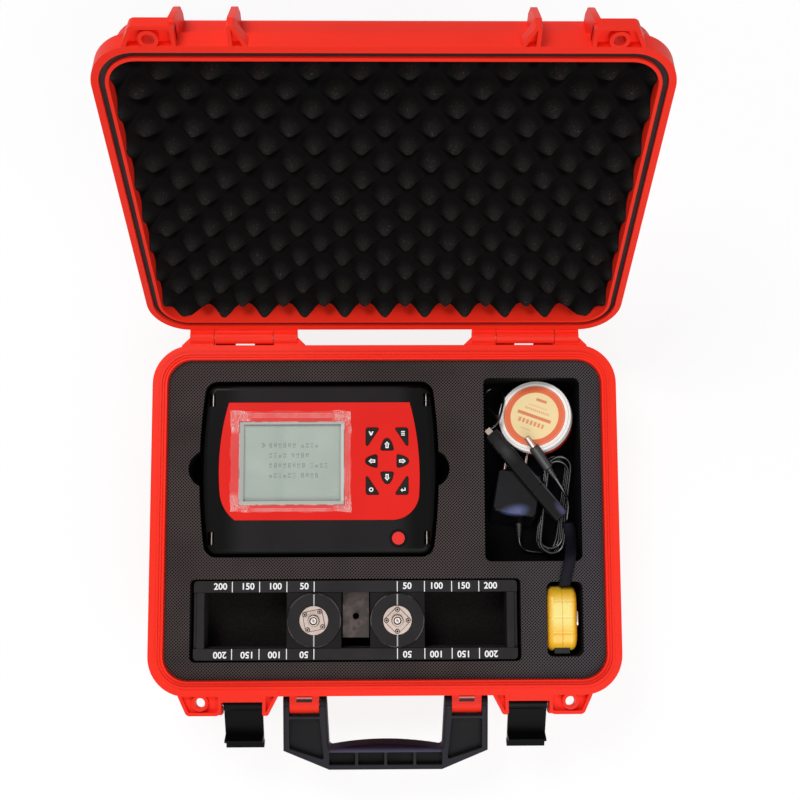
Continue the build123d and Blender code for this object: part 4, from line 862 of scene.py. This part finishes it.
def hankPoints(look):
    # each turn: up the right run, round the top, down the left run on to the next layer, round the bottom;
    # the whole hank leans about its middle
    points = list(look["entry"])
    turns = np.radians(np.linspace(0, 180, look["steps"]))
    for loop in range(look["loops"]):
        level = look["level"] + look["layer"] * loop
        above = level + look["layer"]
        right = look["right"] + look["fan"] * loop
        following = right + look["fan"]
        left = look["left"] + look["sideSlack"][loop]
        high = look["high"] - look["topSlack"][loop]
        low = look["low"] + look["bottomSlack"][loop]
        sway = look["sway"][loop]
        points += [(right, look["low"] + look["start"], level), (right - abs(sway), look["waist"], level)]
        middle, reach = (right + left) / 2, (right - left) / 2
        points += [(middle + reach * math.cos(a), high + reach * math.sin(a), level) for a in turns]
        points += [(left + max(sway, 0), look["waist"], (level + above) / 2)]
        middle, reach = (following + left) / 2, (following - left) / 2
        points += [(middle - reach * math.cos(a), low - reach * math.sin(a), above) for a in turns]
    swing = math.radians(look["lean"])
    x, y, z = np.array(points).T
    east, north = x - look["middle"][0], y - look["middle"][1]
    x = look["middle"][0] + east * math.cos(swing) + north * math.sin(swing)
    y = look["middle"][1] - east * math.sin(swing) + north * math.cos(swing)
    return np.stack([x, y, z], 1).tolist()


cord = cordPiece(
    "charger_cord",
    chargerCord["adapterEnd"] + hankPoints(chargerCord) + chargerCord["plugEnd"],
    chargerCord["radius"], "cordBlack", "base",
)
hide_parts("cord_adapter_end", "cord_hank", "cord_plug_end")

lanyardLook = {
    "points": [
        (100.4, 82.97, 84.5), (105.4, 87.1, 84.5), (109, 94.5, 82), (111.2, 102.5, 77.6),
        (113.4, 110.3, 73.4), (114.4, 117.9, 67.4), (110.6, 123.9, 60.6), (104, 125.5, 55.6),
        (97.6, 121.7, 55), (95.4, 114.3, 58.4), (98, 106.9, 64.8), (102.6, 100.5, 71.6),
        (107.2, 93.5, 79.4), (105.4, 87.1, 82.1), (100.4, 82.97, 82.1),
    ],
    "length": 0.120, "radius": 1.1 * mm,
}
lanyard = cordPiece("stick_lanyard_cord", lanyardLook["points"], lanyardLook["radius"], "cordBlack", "base")
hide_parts("stick_lanyard")
print("camera and cords placed")


# Foams

lidHinge = {"open": 119.0, "axis": (0.0, 167.8, 102.5)}
lidFoamLook = {
    "half": (201.7, 146.7), "corner": 22.7, "peak": 108.3, "depth": 17.0, "roof": 153.3, "pitch": 26.2,
    "sharpness": 1.75, "product": 0.7, "columns": 270, "rows": 200, "shoulder": 18.0, "sideDepth": 0.45,
    "lee": 7.0, "draft": 4.1 / 52.0, "rim": 105.3, "shadingFrom": 0.25, "shadowUnder": 0.6, "sharp": 60.0,
    "wander": 0.3, "wanderX": (0.043, 1.3), "wanderY": (0.051, 0.4), "sideRings": (0.34, 0.67, 1.0),
}


def openedLid(points):
    # turns points of the closed lid about the hinge line to the open pose
    angle = math.radians(-lidHinge["open"])
    c, s = math.cos(angle), math.sin(angle)
    turn = np.array([[1, 0, 0], [0, c, -s], [0, s, c]])
    hinge = np.array(lidHinge["axis"])
    return (points - hinge) @ turn.T + hinge


def eggCrate(x, y, look):
    # 0 in the valleys to 1 on the peaks: two raised cosines along the diagonals, multiplied and averaged
    turn = math.sqrt(0.5) * 2 * math.pi / look["pitch"]
    first, second = np.cos((x + y) * turn) * 0.5 + 0.5, np.cos((x - y) * turn) * 0.5 + 0.5
    return look["product"] * np.sqrt(first * second) + (1 - look["product"]) * (first + second) / 2


def makeLidFoamMesh(look):
    # the egg-crate height on a grid whose rows are cut to a rounded rectangle; sides and back close it
    halfX, halfY = look["half"]
    corner, rows, columns = look["corner"], look["rows"], look["columns"]
    y = np.linspace(-halfY, halfY, rows)
    past = np.clip(np.abs(y) - (halfY - corner), 0, corner)
    width = (halfX - corner + np.sqrt(corner ** 2 - past ** 2))[:, None]
    x = np.linspace(-1, 1, columns)[None, :] * width
    y = np.repeat(y[:, None], columns, 1)
    rise = eggCrate(x, y, look)
    # the side of each peak that lies under it, darkened as painted shadow
    under = np.clip(eggCrate(x, y - look["lee"], look) - rise, 0, 1)
    sineX = np.sin(x * look["wanderX"][0] + look["wanderX"][1])
    sineY = np.sin(y * look["wanderY"][0] + look["wanderY"][1])
    deep = look["sideDepth"] + (1 - look["sideDepth"]) * smoothStep((width - np.abs(x)) / look["shoulder"])
    z = look["peak"] + look["depth"] * (1 - rise ** look["sharpness"]) * deep
    z = z + look["wander"] * sineX * sineY * (1 - rise)
    front = np.stack([x, y, z], -1).reshape(-1, 3)
    index = np.arange(rows * columns).reshape(rows, columns)
    edge = np.concatenate([index[0, :-1], index[:-1, -1], index[-1, :0:-1], index[:0:-1, 0]])
    rim = front[edge]
    back = rim.copy()
    back[:, 2] = look["roof"]
    points = np.concatenate([front, *[rim * (1 - k) + back * k for k in look["sideRings"]]])
    inward = look["draft"] * (points[:, 2] - look["rim"])   # the lid narrows towards its roof
    points[:, 0] *= 1 - inward / halfX
    points[:, 1] *= 1 - inward / halfY
    faces = [quad[::-1] for quad in gridFaces(rows, columns)]
    count = len(edge)
    ring = edge.tolist()
    for first in range(rows * columns, len(points), count):
        lower = list(range(first, first + count))
        faces += [[ring[i], ring[(i + 1) % count], lower[(i + 1) % count], lower[i]] for i in range(count)]
        ring = lower
    faces.append(ring)
    mesh = meshOf("lid_foam_egg_crate", openedLid(points) * mm, faces)
    mesh.set_sharp_from_angle(angle=math.radians(look["sharp"]))
    # painted shading: lighter towards the peaks, painted shade in the valleys and painted shadow under each
    # peak
    shown = look["shadingFrom"] + (1 - look["shadingFrom"]) * rise - look["shadowUnder"] * under
    paintedShading = np.zeros(len(points))
    paintedShading[:rows * columns] = np.clip(shown, 0, 1).ravel()
    mesh.attributes.new("paintedShading", "FLOAT", "POINT").data.foreach_set("value", paintedShading)
    return mesh


lidFoam = newPiece("lid_foam_egg_crate", makeLidFoamMesh(lidFoamLook), "lidFoam", "lid")
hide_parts("lid_foam")

baseFoam = softCopy("base_foam", 0.7 * mm, "baseFoam", "base")
print("foams made")


# Case, tester, ruler and accessories on their CAD shapes

softened = {
    # node: width of its rounds in millimetres, finish, body
    "case_base": (0.6, "caseRed", "base"), "case_lid": (0.6, "caseRed", "lid"),
    "carry_handle": (0.5, "handleBlack", "handle"),
    "latch_left": (0.5, "latchBlack", "latch_left"), "latch_right": (0.5, "latchBlack", "latch_right"),
    "faceplate": (0.2, "faceRed", "tester"), "power_button": (0.5, "buttonRed", "power_button"),
    "ruler_rail_back": (0.5, "railBlack", "ruler"), "ruler_rail_front": (0.5, "railBlack", "ruler"),
    "ruler_end_left": (0.5, "railBlack", "ruler"), "ruler_end_right": (0.5, "railBlack", "ruler"),
    "carrier_left": (0.3, "carrierBlack", "slider_left"),
    "carrier_right": (0.3, "carrierBlack", "slider_right"),
    "transducer_left": (0.3, "capGrey", "slider_left"), "transducer_right": (0.3, "capGrey", "slider_right"),
    "connector_left": (0.15, "nickel", "slider_left"), "connector_right": (0.2, "nickel", "slider_right"),
    "adapter_case": (1.5, "adapterBlack", "base"), "stick_barrel": (0.9, "stickBlack", "base"),
    "stick_cap": (0.9, "stickBlack", "stick_cap"), "stick_clasp": (0.3, "clipSteel", "base"),
    "tape_shell_left": (0.2, "tapeYellow", "tape"), "tape_shell_right": (0.2, "tapeYellow", "tape"),
    "tape_mouth": (0.4, "mouthBlack", "tape"), "tape_clip": (0.3, "clipSteel", "tape"),
    "centre_plate": (0.2, "blankPlate", "ruler"),
}
keyNames = ["up", "left", "down", "right", "top_left", "top_right", "bottom_left", "bottom_right"]
softened.update({"key_" + name: (0.35, "keyBlack", "key_" + name) for name in keyNames})
for nodeName, (width, finish, body) in softened.items():
    softCopy(nodeName, width * mm, finish, body)

finLook = {
    "span": (148.0, 153.0), "round": 0.6,
    "outline": [
        (-146.5, 151.3), (-154.3, 151.3), (-164.0, 145.5), (-167.0, 141.0), (-177.0, 115.3), (-177.0, 111.3),
        (-148.5, 111.3),
    ],
}
for side, name in ((-1, "lid_fin_left"), (1, "lid_fin_right")):
    # the outer fin beside each latch, drawn from the end of the closed lid
    points, faces = prism([finLook["outline"]], *sorted(side * x for x in finLook["span"]))
    mesh = meshOf(name, openedLid(points[:, [2, 0, 1]]) * mm, faces)
    mesh.set_sharp_from_angle(angle=hardAngle)
    fin = newPiece(name, mesh, "caseRed", "lid")
    roundEdges(fin, finLook["round"] * mm)

dressed = {
    "front_housing": "testerShell", "back_housing": "testerShell", "display_window": "windowClear",
    "lcd_panel": "lcdCell", "keypad_mat": "keyBlack", "main_board": "boardGreen",
    "battery_pack": "batteryBlue", "housing_screws": "screwSteel", "tester_sockets": "nickel",
    "strap_pins": "nickel", "hinge_pins": "pinSteel", "front_pins": "pinSteel", "lid_gasket": "sealBlack",
    "tin_body": "tinBody", "tin_lid": "tinLid", "adapter_blades": "nickel", "adapter_relief": "reliefBlack",
    "dc_plug": "reliefBlack", "dc_plug_barrel": "nickel",
}
for nodeName, finish in dressed.items():
    dress(nodeName, finish)
print("CAD shapes finished:", len(softened), "softened,", len(dressed), "dressed")


# Wrist band of the tape measure

bandLook = {
    "route": [
        (164.6, -62, 74), (164.6, -62, 90), (164.6, -61.9, 98.4), (164.9, -60.2, 99.1), (167.2, -50, 99.2),
        (169.6, -41, 99.2), (171.0, -35, 96.5), (173.0, -26, 86), (174.4, -18, 77.5), (174.2, -10, 73.2),
        (172.6, -6.6, 72.4),
    ],
    "width": 10.4, "layer": 0.75, "thick": 0.9, "endLoop": 2.2, "loopSteps": 9, "openFrom": 1.2 / 2.2,
    "across": (0, 0.03, 0.5, 0.97, 1, 0.97, 0.5, 0.03), "lift": (0, 1, 1, 1, 0, -1, -1, -1),
}


def unitSteps(path):
    # the direction along a path of points, and the direction at right angles to it
    step = np.gradient(path, axis=0)
    step /= np.linalg.norm(step, axis=1)[:, None]
    return step, np.stack([-step[:, 1], step[:, 0]], 1)


def makeBandMesh(look):
    # a flat profile carried out along the route, round a loop at its end and back under itself
    line = bpy.data.objects.new("band_route", routeSpline("band_route", look["route"]))
    traced = bpy.data.meshes.new_from_object(line)
    spots = np.empty(len(traced.vertices) * 3)
    traced.vertices.foreach_get("co", spots)
    spots = spots.reshape(-1, 3) / mm
    bpy.data.objects.remove(line)
    bpy.data.meshes.remove(traced)
    centre, spots = spots[:, 0], spots[:, 1:]
    step, normal = unitSteps(spots)
    share = np.linspace(0, 1, len(spots))[:, None]
    opened = np.clip((share - look["openFrom"]) / (1 - look["openFrom"]), 0, 1) ** 2
    spread = look["layer"] + (look["endLoop"] - look["layer"]) * opened
    over, under = spots + normal * spread, spots - normal * spread
    turn = np.radians(np.linspace(90, -90, look["loopSteps"])[1:-1])[:, None]
    loop = spots[-1] + look["endLoop"] * (np.cos(turn) * step[-1] + np.sin(turn) * normal[-1])
    path = np.concatenate([over, loop, under[::-1]])
    centre = np.concatenate([centre, np.repeat(centre[-1], len(loop)), centre[::-1]])
    side = unitSteps(path)[1]
    across = (np.array(look["across"]) - 0.5) * look["width"]
    lift = np.array(look["lift"]) * look["thick"] / 2
    yz = path[:, None, :] + side[:, None, :] * lift[None, :, None]
    x = centre[:, None] + across[None, :]
    points = np.concatenate([x[:, :, None], yz], -1)
    rows, columns = x.shape
    faces = gridFaces(rows, columns, closedColumns=True)
    faces += [list(range(columns - 1, -1, -1)), list(range((rows - 1) * columns, rows * columns))]
    mesh = meshOf("tape_wrist_band", points.reshape(-1, 3) * mm, faces)
    length = np.concatenate([[0], np.cumsum(np.linalg.norm(np.diff(path, axis=0), axis=1))])
    uv = np.stack(np.broadcast_arrays(across[None, :], length[:, None]), -1).reshape(-1, 2)
    corners = np.empty(len(mesh.loops), int)
    mesh.loops.foreach_get("vertex_index", corners)
    mesh.uv_layers.new(name="weave").data.foreach_set("uv", uv[corners].ravel())
    return mesh, look["width"] * mm, float(length[-1]) * mm


bandMesh, bandWidth, bandLength = makeBandMesh(bandLook)
band = newPiece("tape_wrist_band", bandMesh, "webbing", "tape")
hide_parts("tape_band")
print("wrist band made:", round(bandLength, 3), "m")


# Marks, numbers and legends

def inkPlates(name, outlines, level, finish, body, thick=0.06):
    # thin plates of ink: each outline, in millimetres, is raised from level by thick
    points, faces = prism(outlines, level, level + thick)
    newPiece(name, meshOf(name, points * mm, faces, smooth=False), finish, body)


def bar(x0, y0, x1, y1):
    return [(x0, y0), (x1, y0), (x1, y1), (x0, y1)]


def frameBars(outer, inner):
    # a closed outline as four-sided strips between two loops of the same count
    count = len(outer)
    return [[outer[i], outer[(i + 1) % count], inner[(i + 1) % count], inner[i]] for i in range(count)]


def turned(outline, degrees, x, y):
    c, s = math.cos(math.radians(degrees)), math.sin(math.radians(degrees))
    return [(x + c * px - s * py, y + s * px + c * py) for px, py in outline]


def circlePoints(radius, count):
    angles = np.linspace(0, 2 * math.pi, count, endpoint=False)
    return [(radius * math.cos(a), radius * math.sin(a)) for a in angles]


def sliderSpot(body):
    return ruler["centre"][0] + ruler["sliders"][body] * ruler["sliderReach"], ruler["centre"][1]


rulerMarks = {
    "rail": 10.7, "first": 13.15, "line": 0.75, "level": 95.0, "lineEnds": (0.3, 0.9),
    "height": 6.0, "capHeight": 0.73, "bolder": 0.16, "half": 0.03,
    # each label and how far its number stands outside its line
    "labels": {50: 9.1, 100: 10.8, 150: 10.8, 200: 10.8},
}


def makeRulerMarks(look):
    cx, cy = ruler["centre"]
    reach, half = ruler["half"][1], look["line"] / 2
    lines = []
    parts = bmesh.new()
    for label, outside in look["labels"].items():
        word = bpy.data.curves.new("number", "FONT")
        adjust(
            word, body=str(label), size=look["height"] / look["capHeight"] * mm, offset=look["bolder"] * mm,
            extrude=look["half"] * mm, align_x="CENTER", align_y="CENTER", resolution_u=4,
        )
        holder = bpy.data.objects.new("number", word)
        scene.collection.objects.link(holder)
        flat = bpy.data.meshes.new_from_object(holder)
        for side in (-1, 1):
            away = look["first"] + label / 2
            x = cx + side * away
            for end in (-1, 1):
                inner, outer = reach - look["rail"] + look["lineEnds"][0], reach - look["lineEnds"][1]
                low, high = sorted((cy + end * inner, cy + end * outer))
                lines.append(bar(x - half, low, x + half, high))
                middle = cy + end * (reach - look["rail"] / 2)
                spot = Vector((cx + side * (away + outside), middle, look["level"] + look["half"])) * mm
                turn = Matrix.Rotation(0 if end > 0 else math.pi, 4, "Z")
                placed = flat.copy()
                placed.transform(Matrix.Translation(spot) @ turn)
                parts.from_mesh(placed)
                bpy.data.meshes.remove(placed)
        bpy.data.objects.remove(holder)
        bpy.data.meshes.remove(flat)
    inkPlates("ruler_lines", lines, look["level"], "whiteInk", "ruler")
    mesh = bpy.data.meshes.new("ruler_numbers")
    parts.to_mesh(mesh)
    parts.free()
    newPiece("ruler_numbers", mesh, "whiteInk", "ruler")


makeRulerMarks(rulerMarks)

sliderMarks = {"level": 97.5, "ends": (13.1, 23.6), "half": 0.575}
for body in ruler["sliders"]:
    x, y = sliderSpot(body)
    half, (inner, outer) = sliderMarks["half"], sliderMarks["ends"]
    rays = [bar(x - half, y + inner, x + half, y + outer), bar(x - half, y - outer, x + half, y - inner)]
    inkPlates(body + "_index", rays, sliderMarks["level"], "indexInk", body)

legendLook = {
    "centre": (1.9, 52.2), "level": 99.9,
    "signs": {
        "arrow": frameBars(
            [(0, 2.7), (2.5, -0.1), (1.5, -0.1), (1.5, -3.5), (-1.5, -3.5), (-1.5, -0.1), (-2.5, -0.1)],
            [(0, 1.2), (0.7, 0.4), (0.5, 0.3), (0.5, -2.5), (-0.5, -2.5), (-0.5, 0.3), (-0.7, 0.4)],
        ),
        "chevron": [
            [(-2.3, 1.9), (-1.0, 1.9), (0, -0.2), (1.0, 1.9), (2.3, 1.9), (0.65, -1.9), (-0.65, -1.9)],
        ],
        "bars": [bar(-1.7, 1.2, 1.7, 2.1), bar(-1.7, -0.45, 1.7, 0.45), bar(-1.7, -2.1, 1.7, -1.2)],
        "ring": frameBars(circlePoints(2.1, 12), circlePoints(1.05, 12)),
        "hook": [
            [(-2.6, -0.6), (-0.6, 1.1), (-0.6, -2.3)], bar(-0.6, -1.1, 2.2, -0.1), bar(1.2, -0.1, 2.2, 1.7),
        ],
    },
    # each key: its sign, the sign's turn, and its place from the centre
    "keys": {
        "up": ("arrow", 0, 0, 15.5), "left": ("arrow", 90, -14.55, 0),
        "down": ("arrow", 180, 0, -15.5), "right": ("arrow", -90, 14.55, 0),
        "top_left": ("chevron", 0, -14.8, 25.7), "top_right": ("bars", 0, 14.8, 25.7),
        "bottom_left": ("ring", 0, -14.8, -26.4), "bottom_right": ("hook", 0, 14.8, -26.4),
    },
}
for name, (sign, degrees, x, y) in legendLook["keys"].items():
    cx, cy = legendLook["centre"]
    plates = [turned(plate, degrees, cx + x, cy + y) for plate in legendLook["signs"][sign]]
    inkPlates("legend_" + name, plates, legendLook["level"], "whiteInk", "key_" + name)

screenLook = {
    "left": -107.4, "top": 67.0, "pitch": 9.3, "dot": 0.62, "gap": 0.25, "level": 95.5, "thick": 0.04,
    "rows": ((6, 4), (4, 4), (8, 4), (6, 4)), "blockSteps": 5, "spaceSteps": 4, "blockOrder": (5, 3, 2),
    "blocks": ((0, 1, 2, 3, 4), (0, 2, 4), (1, 2, 3, 4), (0, 1, 2), (0, 2, 3, 4), (0, 1, 3, 4)),
    "pointer": (0, 1, 2, 1, 0), "pointerLeft": 7.0,
}


def makeScreenRows(look):
    # four plain menu rows: each word is a line of small blocks of pixels, with a pointer at the first
    dots = []
    dot, step, blocks = look["dot"], look["dot"] + look["gap"], look["blocks"]
    perRow, perWord, perBlock = look["blockOrder"]
    for row, words in enumerate(look["rows"]):
        y = look["top"] - row * look["pitch"]
        x = look["left"]
        for w, count in enumerate(words):
            for k in range(count):
                block = blocks[(row * perRow + w * perWord + k * perBlock) % len(blocks)]
                for column, levels in enumerate((block, block[::2], block)):
                    for level in levels:
                        x0, y0 = x + column * step, y + (level - 2) * step
                        dots.append(bar(x0, y0, x0 + dot, y0 + dot))
                x += look["blockSteps"] * step
            x += look["spaceSteps"] * step
    for k, reach in enumerate(look["pointer"]):
        x0, y0 = look["left"] - look["pointerLeft"] + reach * step, look["top"] + (k - 2) * step
        dots.append(bar(x0, y0, x0 + dot + step, y0 + dot))
    inkPlates("screen_rows", dots, look["level"], "screenInk", "tester", look["thick"])


makeScreenRows(screenLook)

bracketLook = {
    # on each handle bracket a dark strip of painted shade stands for a slot, and a pink strip beyond it is a
    # painted highlight on its lip
    "reach": 74.5, "half": 7.0, "level": 85.8, "thick": 1.05,
    "strips": {"slotShade": (-167.8, -164.8, "sealBlack"), "lipHighlight": (-164.8, -163.2, "paintedLipHighlight")},
}
for part, (low, high, finish) in bracketLook["strips"].items():
    spots = [side * bracketLook["reach"] for side in (-1, 1)]
    strips = [bar(x - bracketLook["half"], low, x + bracketLook["half"], high) for x in spots]
    inkPlates("bracket_" + part, strips, bracketLook["level"], finish, "base", bracketLook["thick"])
print("marks and legends made")


# Connector details: the coax's insulator, painted shadow in the gap inside its barrel and round its collar,
# painted shadow round the flange and its screws, painted shade in the screw sockets and pin hole

coaxLook = {
    "turns": {"slider_left": 11.0, "slider_right": 45.0}, "screw": 7.0, "thick": 0.04, "sides": 32,
    "chamfer": 0.2, "sharp": 40.0,
    # each ring: inner and outer radius, low and top level, finish
    "rings": {
        # the sleeve and collar rings are painted shadow in the coax's gaps
        "insulator": (1.2, 2.6, 100.9, 105.6, "insulator"), "sleeveShadow": (2.7, 3.5, 100.9, 103.6, "paintedShadowBrown"),
        "collarShadow": (4.85, 5.5, 100.72, 100.9, "paintedShadowBrown"),
    },
    # half size inside and outside, corner radius, level of the painted shadow round the flange
    "flange": (8.8, 9.35, 1.6, 99.12),
    # inner and outer radius, edge of the flange, level, sides of the painted shadow round each screw
    "screwShadow": (1.55, 2.4, 8.7, 100.72, 20),
    # radius, level, sides of the painted shade in each screw socket and in the pin hole
    "socket": (1.1, 101.6, 6), "hole": (0.5, 106.7, 12),
}


def ringPiece(name, x, y, ring, body, look):
    # a small tube from inner to outer radius and low to top level, its edges broken
    inner, outer, low, top, finish = ring
    edge, sides = min(look["chamfer"], (top - low) / 2), look["sides"]
    profile = [
        (inner, low), (outer, low), (outer, top - edge), (outer - edge, top), (inner + edge, top),
        (inner, top - edge),
    ]
    angles = np.linspace(0, 2 * math.pi, sides, endpoint=False)
    radius, level = np.array(profile).T
    px = x + radius[None, :] * np.cos(angles)[:, None]
    py = y + radius[None, :] * np.sin(angles)[:, None]
    points = np.stack([px, py, np.repeat(level[None, :], sides, 0)], -1).reshape(-1, 3)
    mesh = meshOf(name, points * mm, gridFaces(sides, len(profile), closedRows=True, closedColumns=True))
    mesh.set_sharp_from_angle(angle=math.radians(look["sharp"]))
    newPiece(name, mesh, finish, body)


def roundSquare(half, radius):
    flat = half - radius
    corners = [(flat, flat, 45), (-flat, flat, 135), (-flat, -flat, 225), (flat, -flat, 315)]
    swing = np.linspace(-45, 45, 5)
    arcs = [(x, y, math.radians(a + s)) for x, y, a in corners for s in swing]
    return [(x + radius * math.cos(a), y + radius * math.sin(a)) for x, y, a in arcs]


def makeConnectorDetails(look, body):
    x, y = sliderSpot(body)
    turn = look["turns"][body]
    for part, ring in look["rings"].items():
        ringPiece(body + "_" + part, x, y, ring, body, look)
    inner, outer, radius, flangeLevel = look["flange"]
    seam = frameBars(roundSquare(outer, radius + outer - inner), roundSquare(inner, radius))
    inner, outer, limit, screwShadowLevel, sides = look["screwShadow"]
    socketRadius, socketLevel, socketSides = look["socket"]
    screwShadows, socketShades = [], []
    for spot in [(i * look["screw"], j * look["screw"]) for i in (-1, 1) for j in (-1, 1)]:
        wide = np.clip(turned(circlePoints(outer, sides), 0, *spot), -limit, limit).tolist()
        screwShadows += frameBars(wide, turned(circlePoints(inner, sides), 0, *spot))
        socketShades.append(turned(circlePoints(socketRadius, socketSides), 0, *spot))
    holeRadius, holeLevel, holeSides = look["hole"]
    # painted shadow round the flange and screws, painted shade in the screw sockets and the pin hole
    plates = {
        "flange_seam": (seam, turn, flangeLevel, "paintedShadowBrown"),
        "screw_painted_shadows": (screwShadows, turn, screwShadowLevel, "paintedShadowBrown"),
        "screw_socket_shade": (socketShades, turn, socketLevel, "mouthBlack"),
        "pin_hole_shade": ([circlePoints(holeRadius, holeSides)], 0, holeLevel, "mouthBlack"),
    }
    for part, (outlines, degrees, level, finish) in plates.items():
        outlines = [turned(outline, degrees, x, y) for outline in outlines]
        inkPlates(body + "_" + part, outlines, level, finish, body, look["thick"])


for body in ruler["sliders"]:
    makeConnectorDetails(coaxLook, body)
print("connector details made")


# Loose film over the screen

filmLook = {
    "left": -143.2, "right": -31.6, "low": 5.4, "high": 99.0, "columns": 150, "rows": 126,
    "window": (-135.1, -37.7, 12.0, 89.0), "faceLevel": 98.85, "windowLevel": 99.22,
    "border": 6.5, "step": (1.2, 0.6), "foldsX": (1.1, 2.2, 0.31), "foldsY": (1.0, 2.0, 0.27),
    # slow waves along each edge, their start, and a quicker ripple
    "ripple": 0.5, "tremble": 0.3, "sideWaves": (17.0, 0.6, 41.0), "endWaves": (15.0, 1.1, 37.0),
    "edgePower": 8, "edgeLift": 0.1, "cornerLift": 0.5, "cornerFrom": 1.5,
}


def makeFilmMesh(look):
    # lies on the panel, steps up over the window, and lifts in soft folds at its border and corners
    u, v = np.meshgrid(np.linspace(0, 1, look["columns"]), np.linspace(0, 1, look["rows"]))
    outX, outY = np.abs(u - 0.5) * 2, np.abs(v - 0.5) * 2
    shifts = []
    for run, out, (slow, start, quick) in ((v, outX, look["sideWaves"]), (u, outY, look["endWaves"])):
        ripple = look["ripple"] * np.sin(run * slow + start) * out ** look["edgePower"]
        shifts.append(ripple + look["tremble"] * np.sin(run * quick))
    x = look["left"] + (look["right"] - look["left"]) * u + shifts[0]
    y = look["low"] + (look["high"] - look["low"]) * v + shifts[1]
    x0, x1, y0, y1 = look["window"]
    inside = np.minimum(np.minimum(x - x0, x1 - x), np.minimum(y - y0, y1 - y))
    over = smoothStep(inside / look["step"][0] + look["step"][1])
    edge = np.clip(-inside / look["border"], 0, 1)
    folds = 1.0
    for run, cross, (rate, sway, slow) in ((x, y, look["foldsX"]), (y, x, look["foldsY"])):
        folds = folds * np.sin(run * rate + sway * np.sin(cross * slow))
    corner = np.clip(outX + outY - look["cornerFrom"], 0, 1)
    z = look["faceLevel"] + (look["windowLevel"] - look["faceLevel"]) * over
    z = z + (edge * look["edgeLift"] + corner * look["cornerLift"]) * (1 + folds)
    points = np.stack([x, y, z], -1).reshape(-1, 3) * mm
    return meshOf("screen_film", points, gridFaces(look["rows"], look["columns"]))


film = newPiece("screen_film", makeFilmMesh(filmLook), "filmClear", "tester")
print("screen film made")


# Floor, light and world

studio = {
    "floor": 4.0, "floorLook": {"colour": (0.86, 0.86, 0.86, 1.0), "roughness": 0.9}, "white": (1, 1, 1, 1),
    "glow": 0.8, "glowLevel": 1.06, "glowFull": (0.5, 1.5), "world": 0.2, "aim": (0, 0.02, 0.08),
    "lamps": (
        {"name": "key", "place": (-0.55, 0.82, 1.75), "size": 0.7, "power": 15.5},
        {"name": "fill", "place": (0.4, -1.05, 1.5), "size": 1.4, "power": 20.0},
    ),
}


def makeStudio(look):
    half = look["floor"] / 2
    points = [(-half, -half, 0), (half, -half, 0), (half, half, 0), (-half, half, 0)]
    floor = bpy.data.objects.new("floor", meshOf("floor", points, [[0, 1, 2, 3]], smooth=False))
    scene.collection.objects.link(floor)
    made = Finish("floorWhite", look["floorLook"])
    glow = made.node("ShaderNodeEmission", {}, {"Color": look["white"], "Strength": look["glowLevel"]})
    away = made.distance(made.place())
    share = made.raySeen() * (look["glow"] + away.above(*look["glowFull"]) * (1 - look["glow"]))
    out = next(n for n in made.tree.nodes if n.type == "OUTPUT_MATERIAL")
    surface = Channel(made, made.shader.outputs[0])
    blend = made.node("ShaderNodeMixShader", {}, {0: share, 1: surface, 2: glow})
    made.feed(out.inputs["Surface"], blend)
    floor.data.materials.append(made.material)
    for lamp in look["lamps"]:
        data = bpy.data.lights.new(lamp["name"], "AREA")
        adjust(data, size=lamp["size"], energy=lamp["power"])
        holder = bpy.data.objects.new(lamp["name"], data)
        facing = (Vector(look["aim"]) - Vector(lamp["place"])).to_track_quat("-Z", "Y")
        holder.matrix_world = Matrix.Translation(lamp["place"]) @ facing.to_matrix().to_4x4()
        scene.collection.objects.link(holder)
    world = bpy.data.worlds.new("studio")
    world.use_nodes = True
    sky = Graph(world.node_tree)
    background = sky.tree.nodes["Background"]
    sky.feed(background.inputs["Color"], look["white"])
    sky.feed(background.inputs["Strength"], look["world"] + sky.raySeen() * (1 - look["world"]))
    scene.world = world


makeStudio(studio)
print("studio lit")
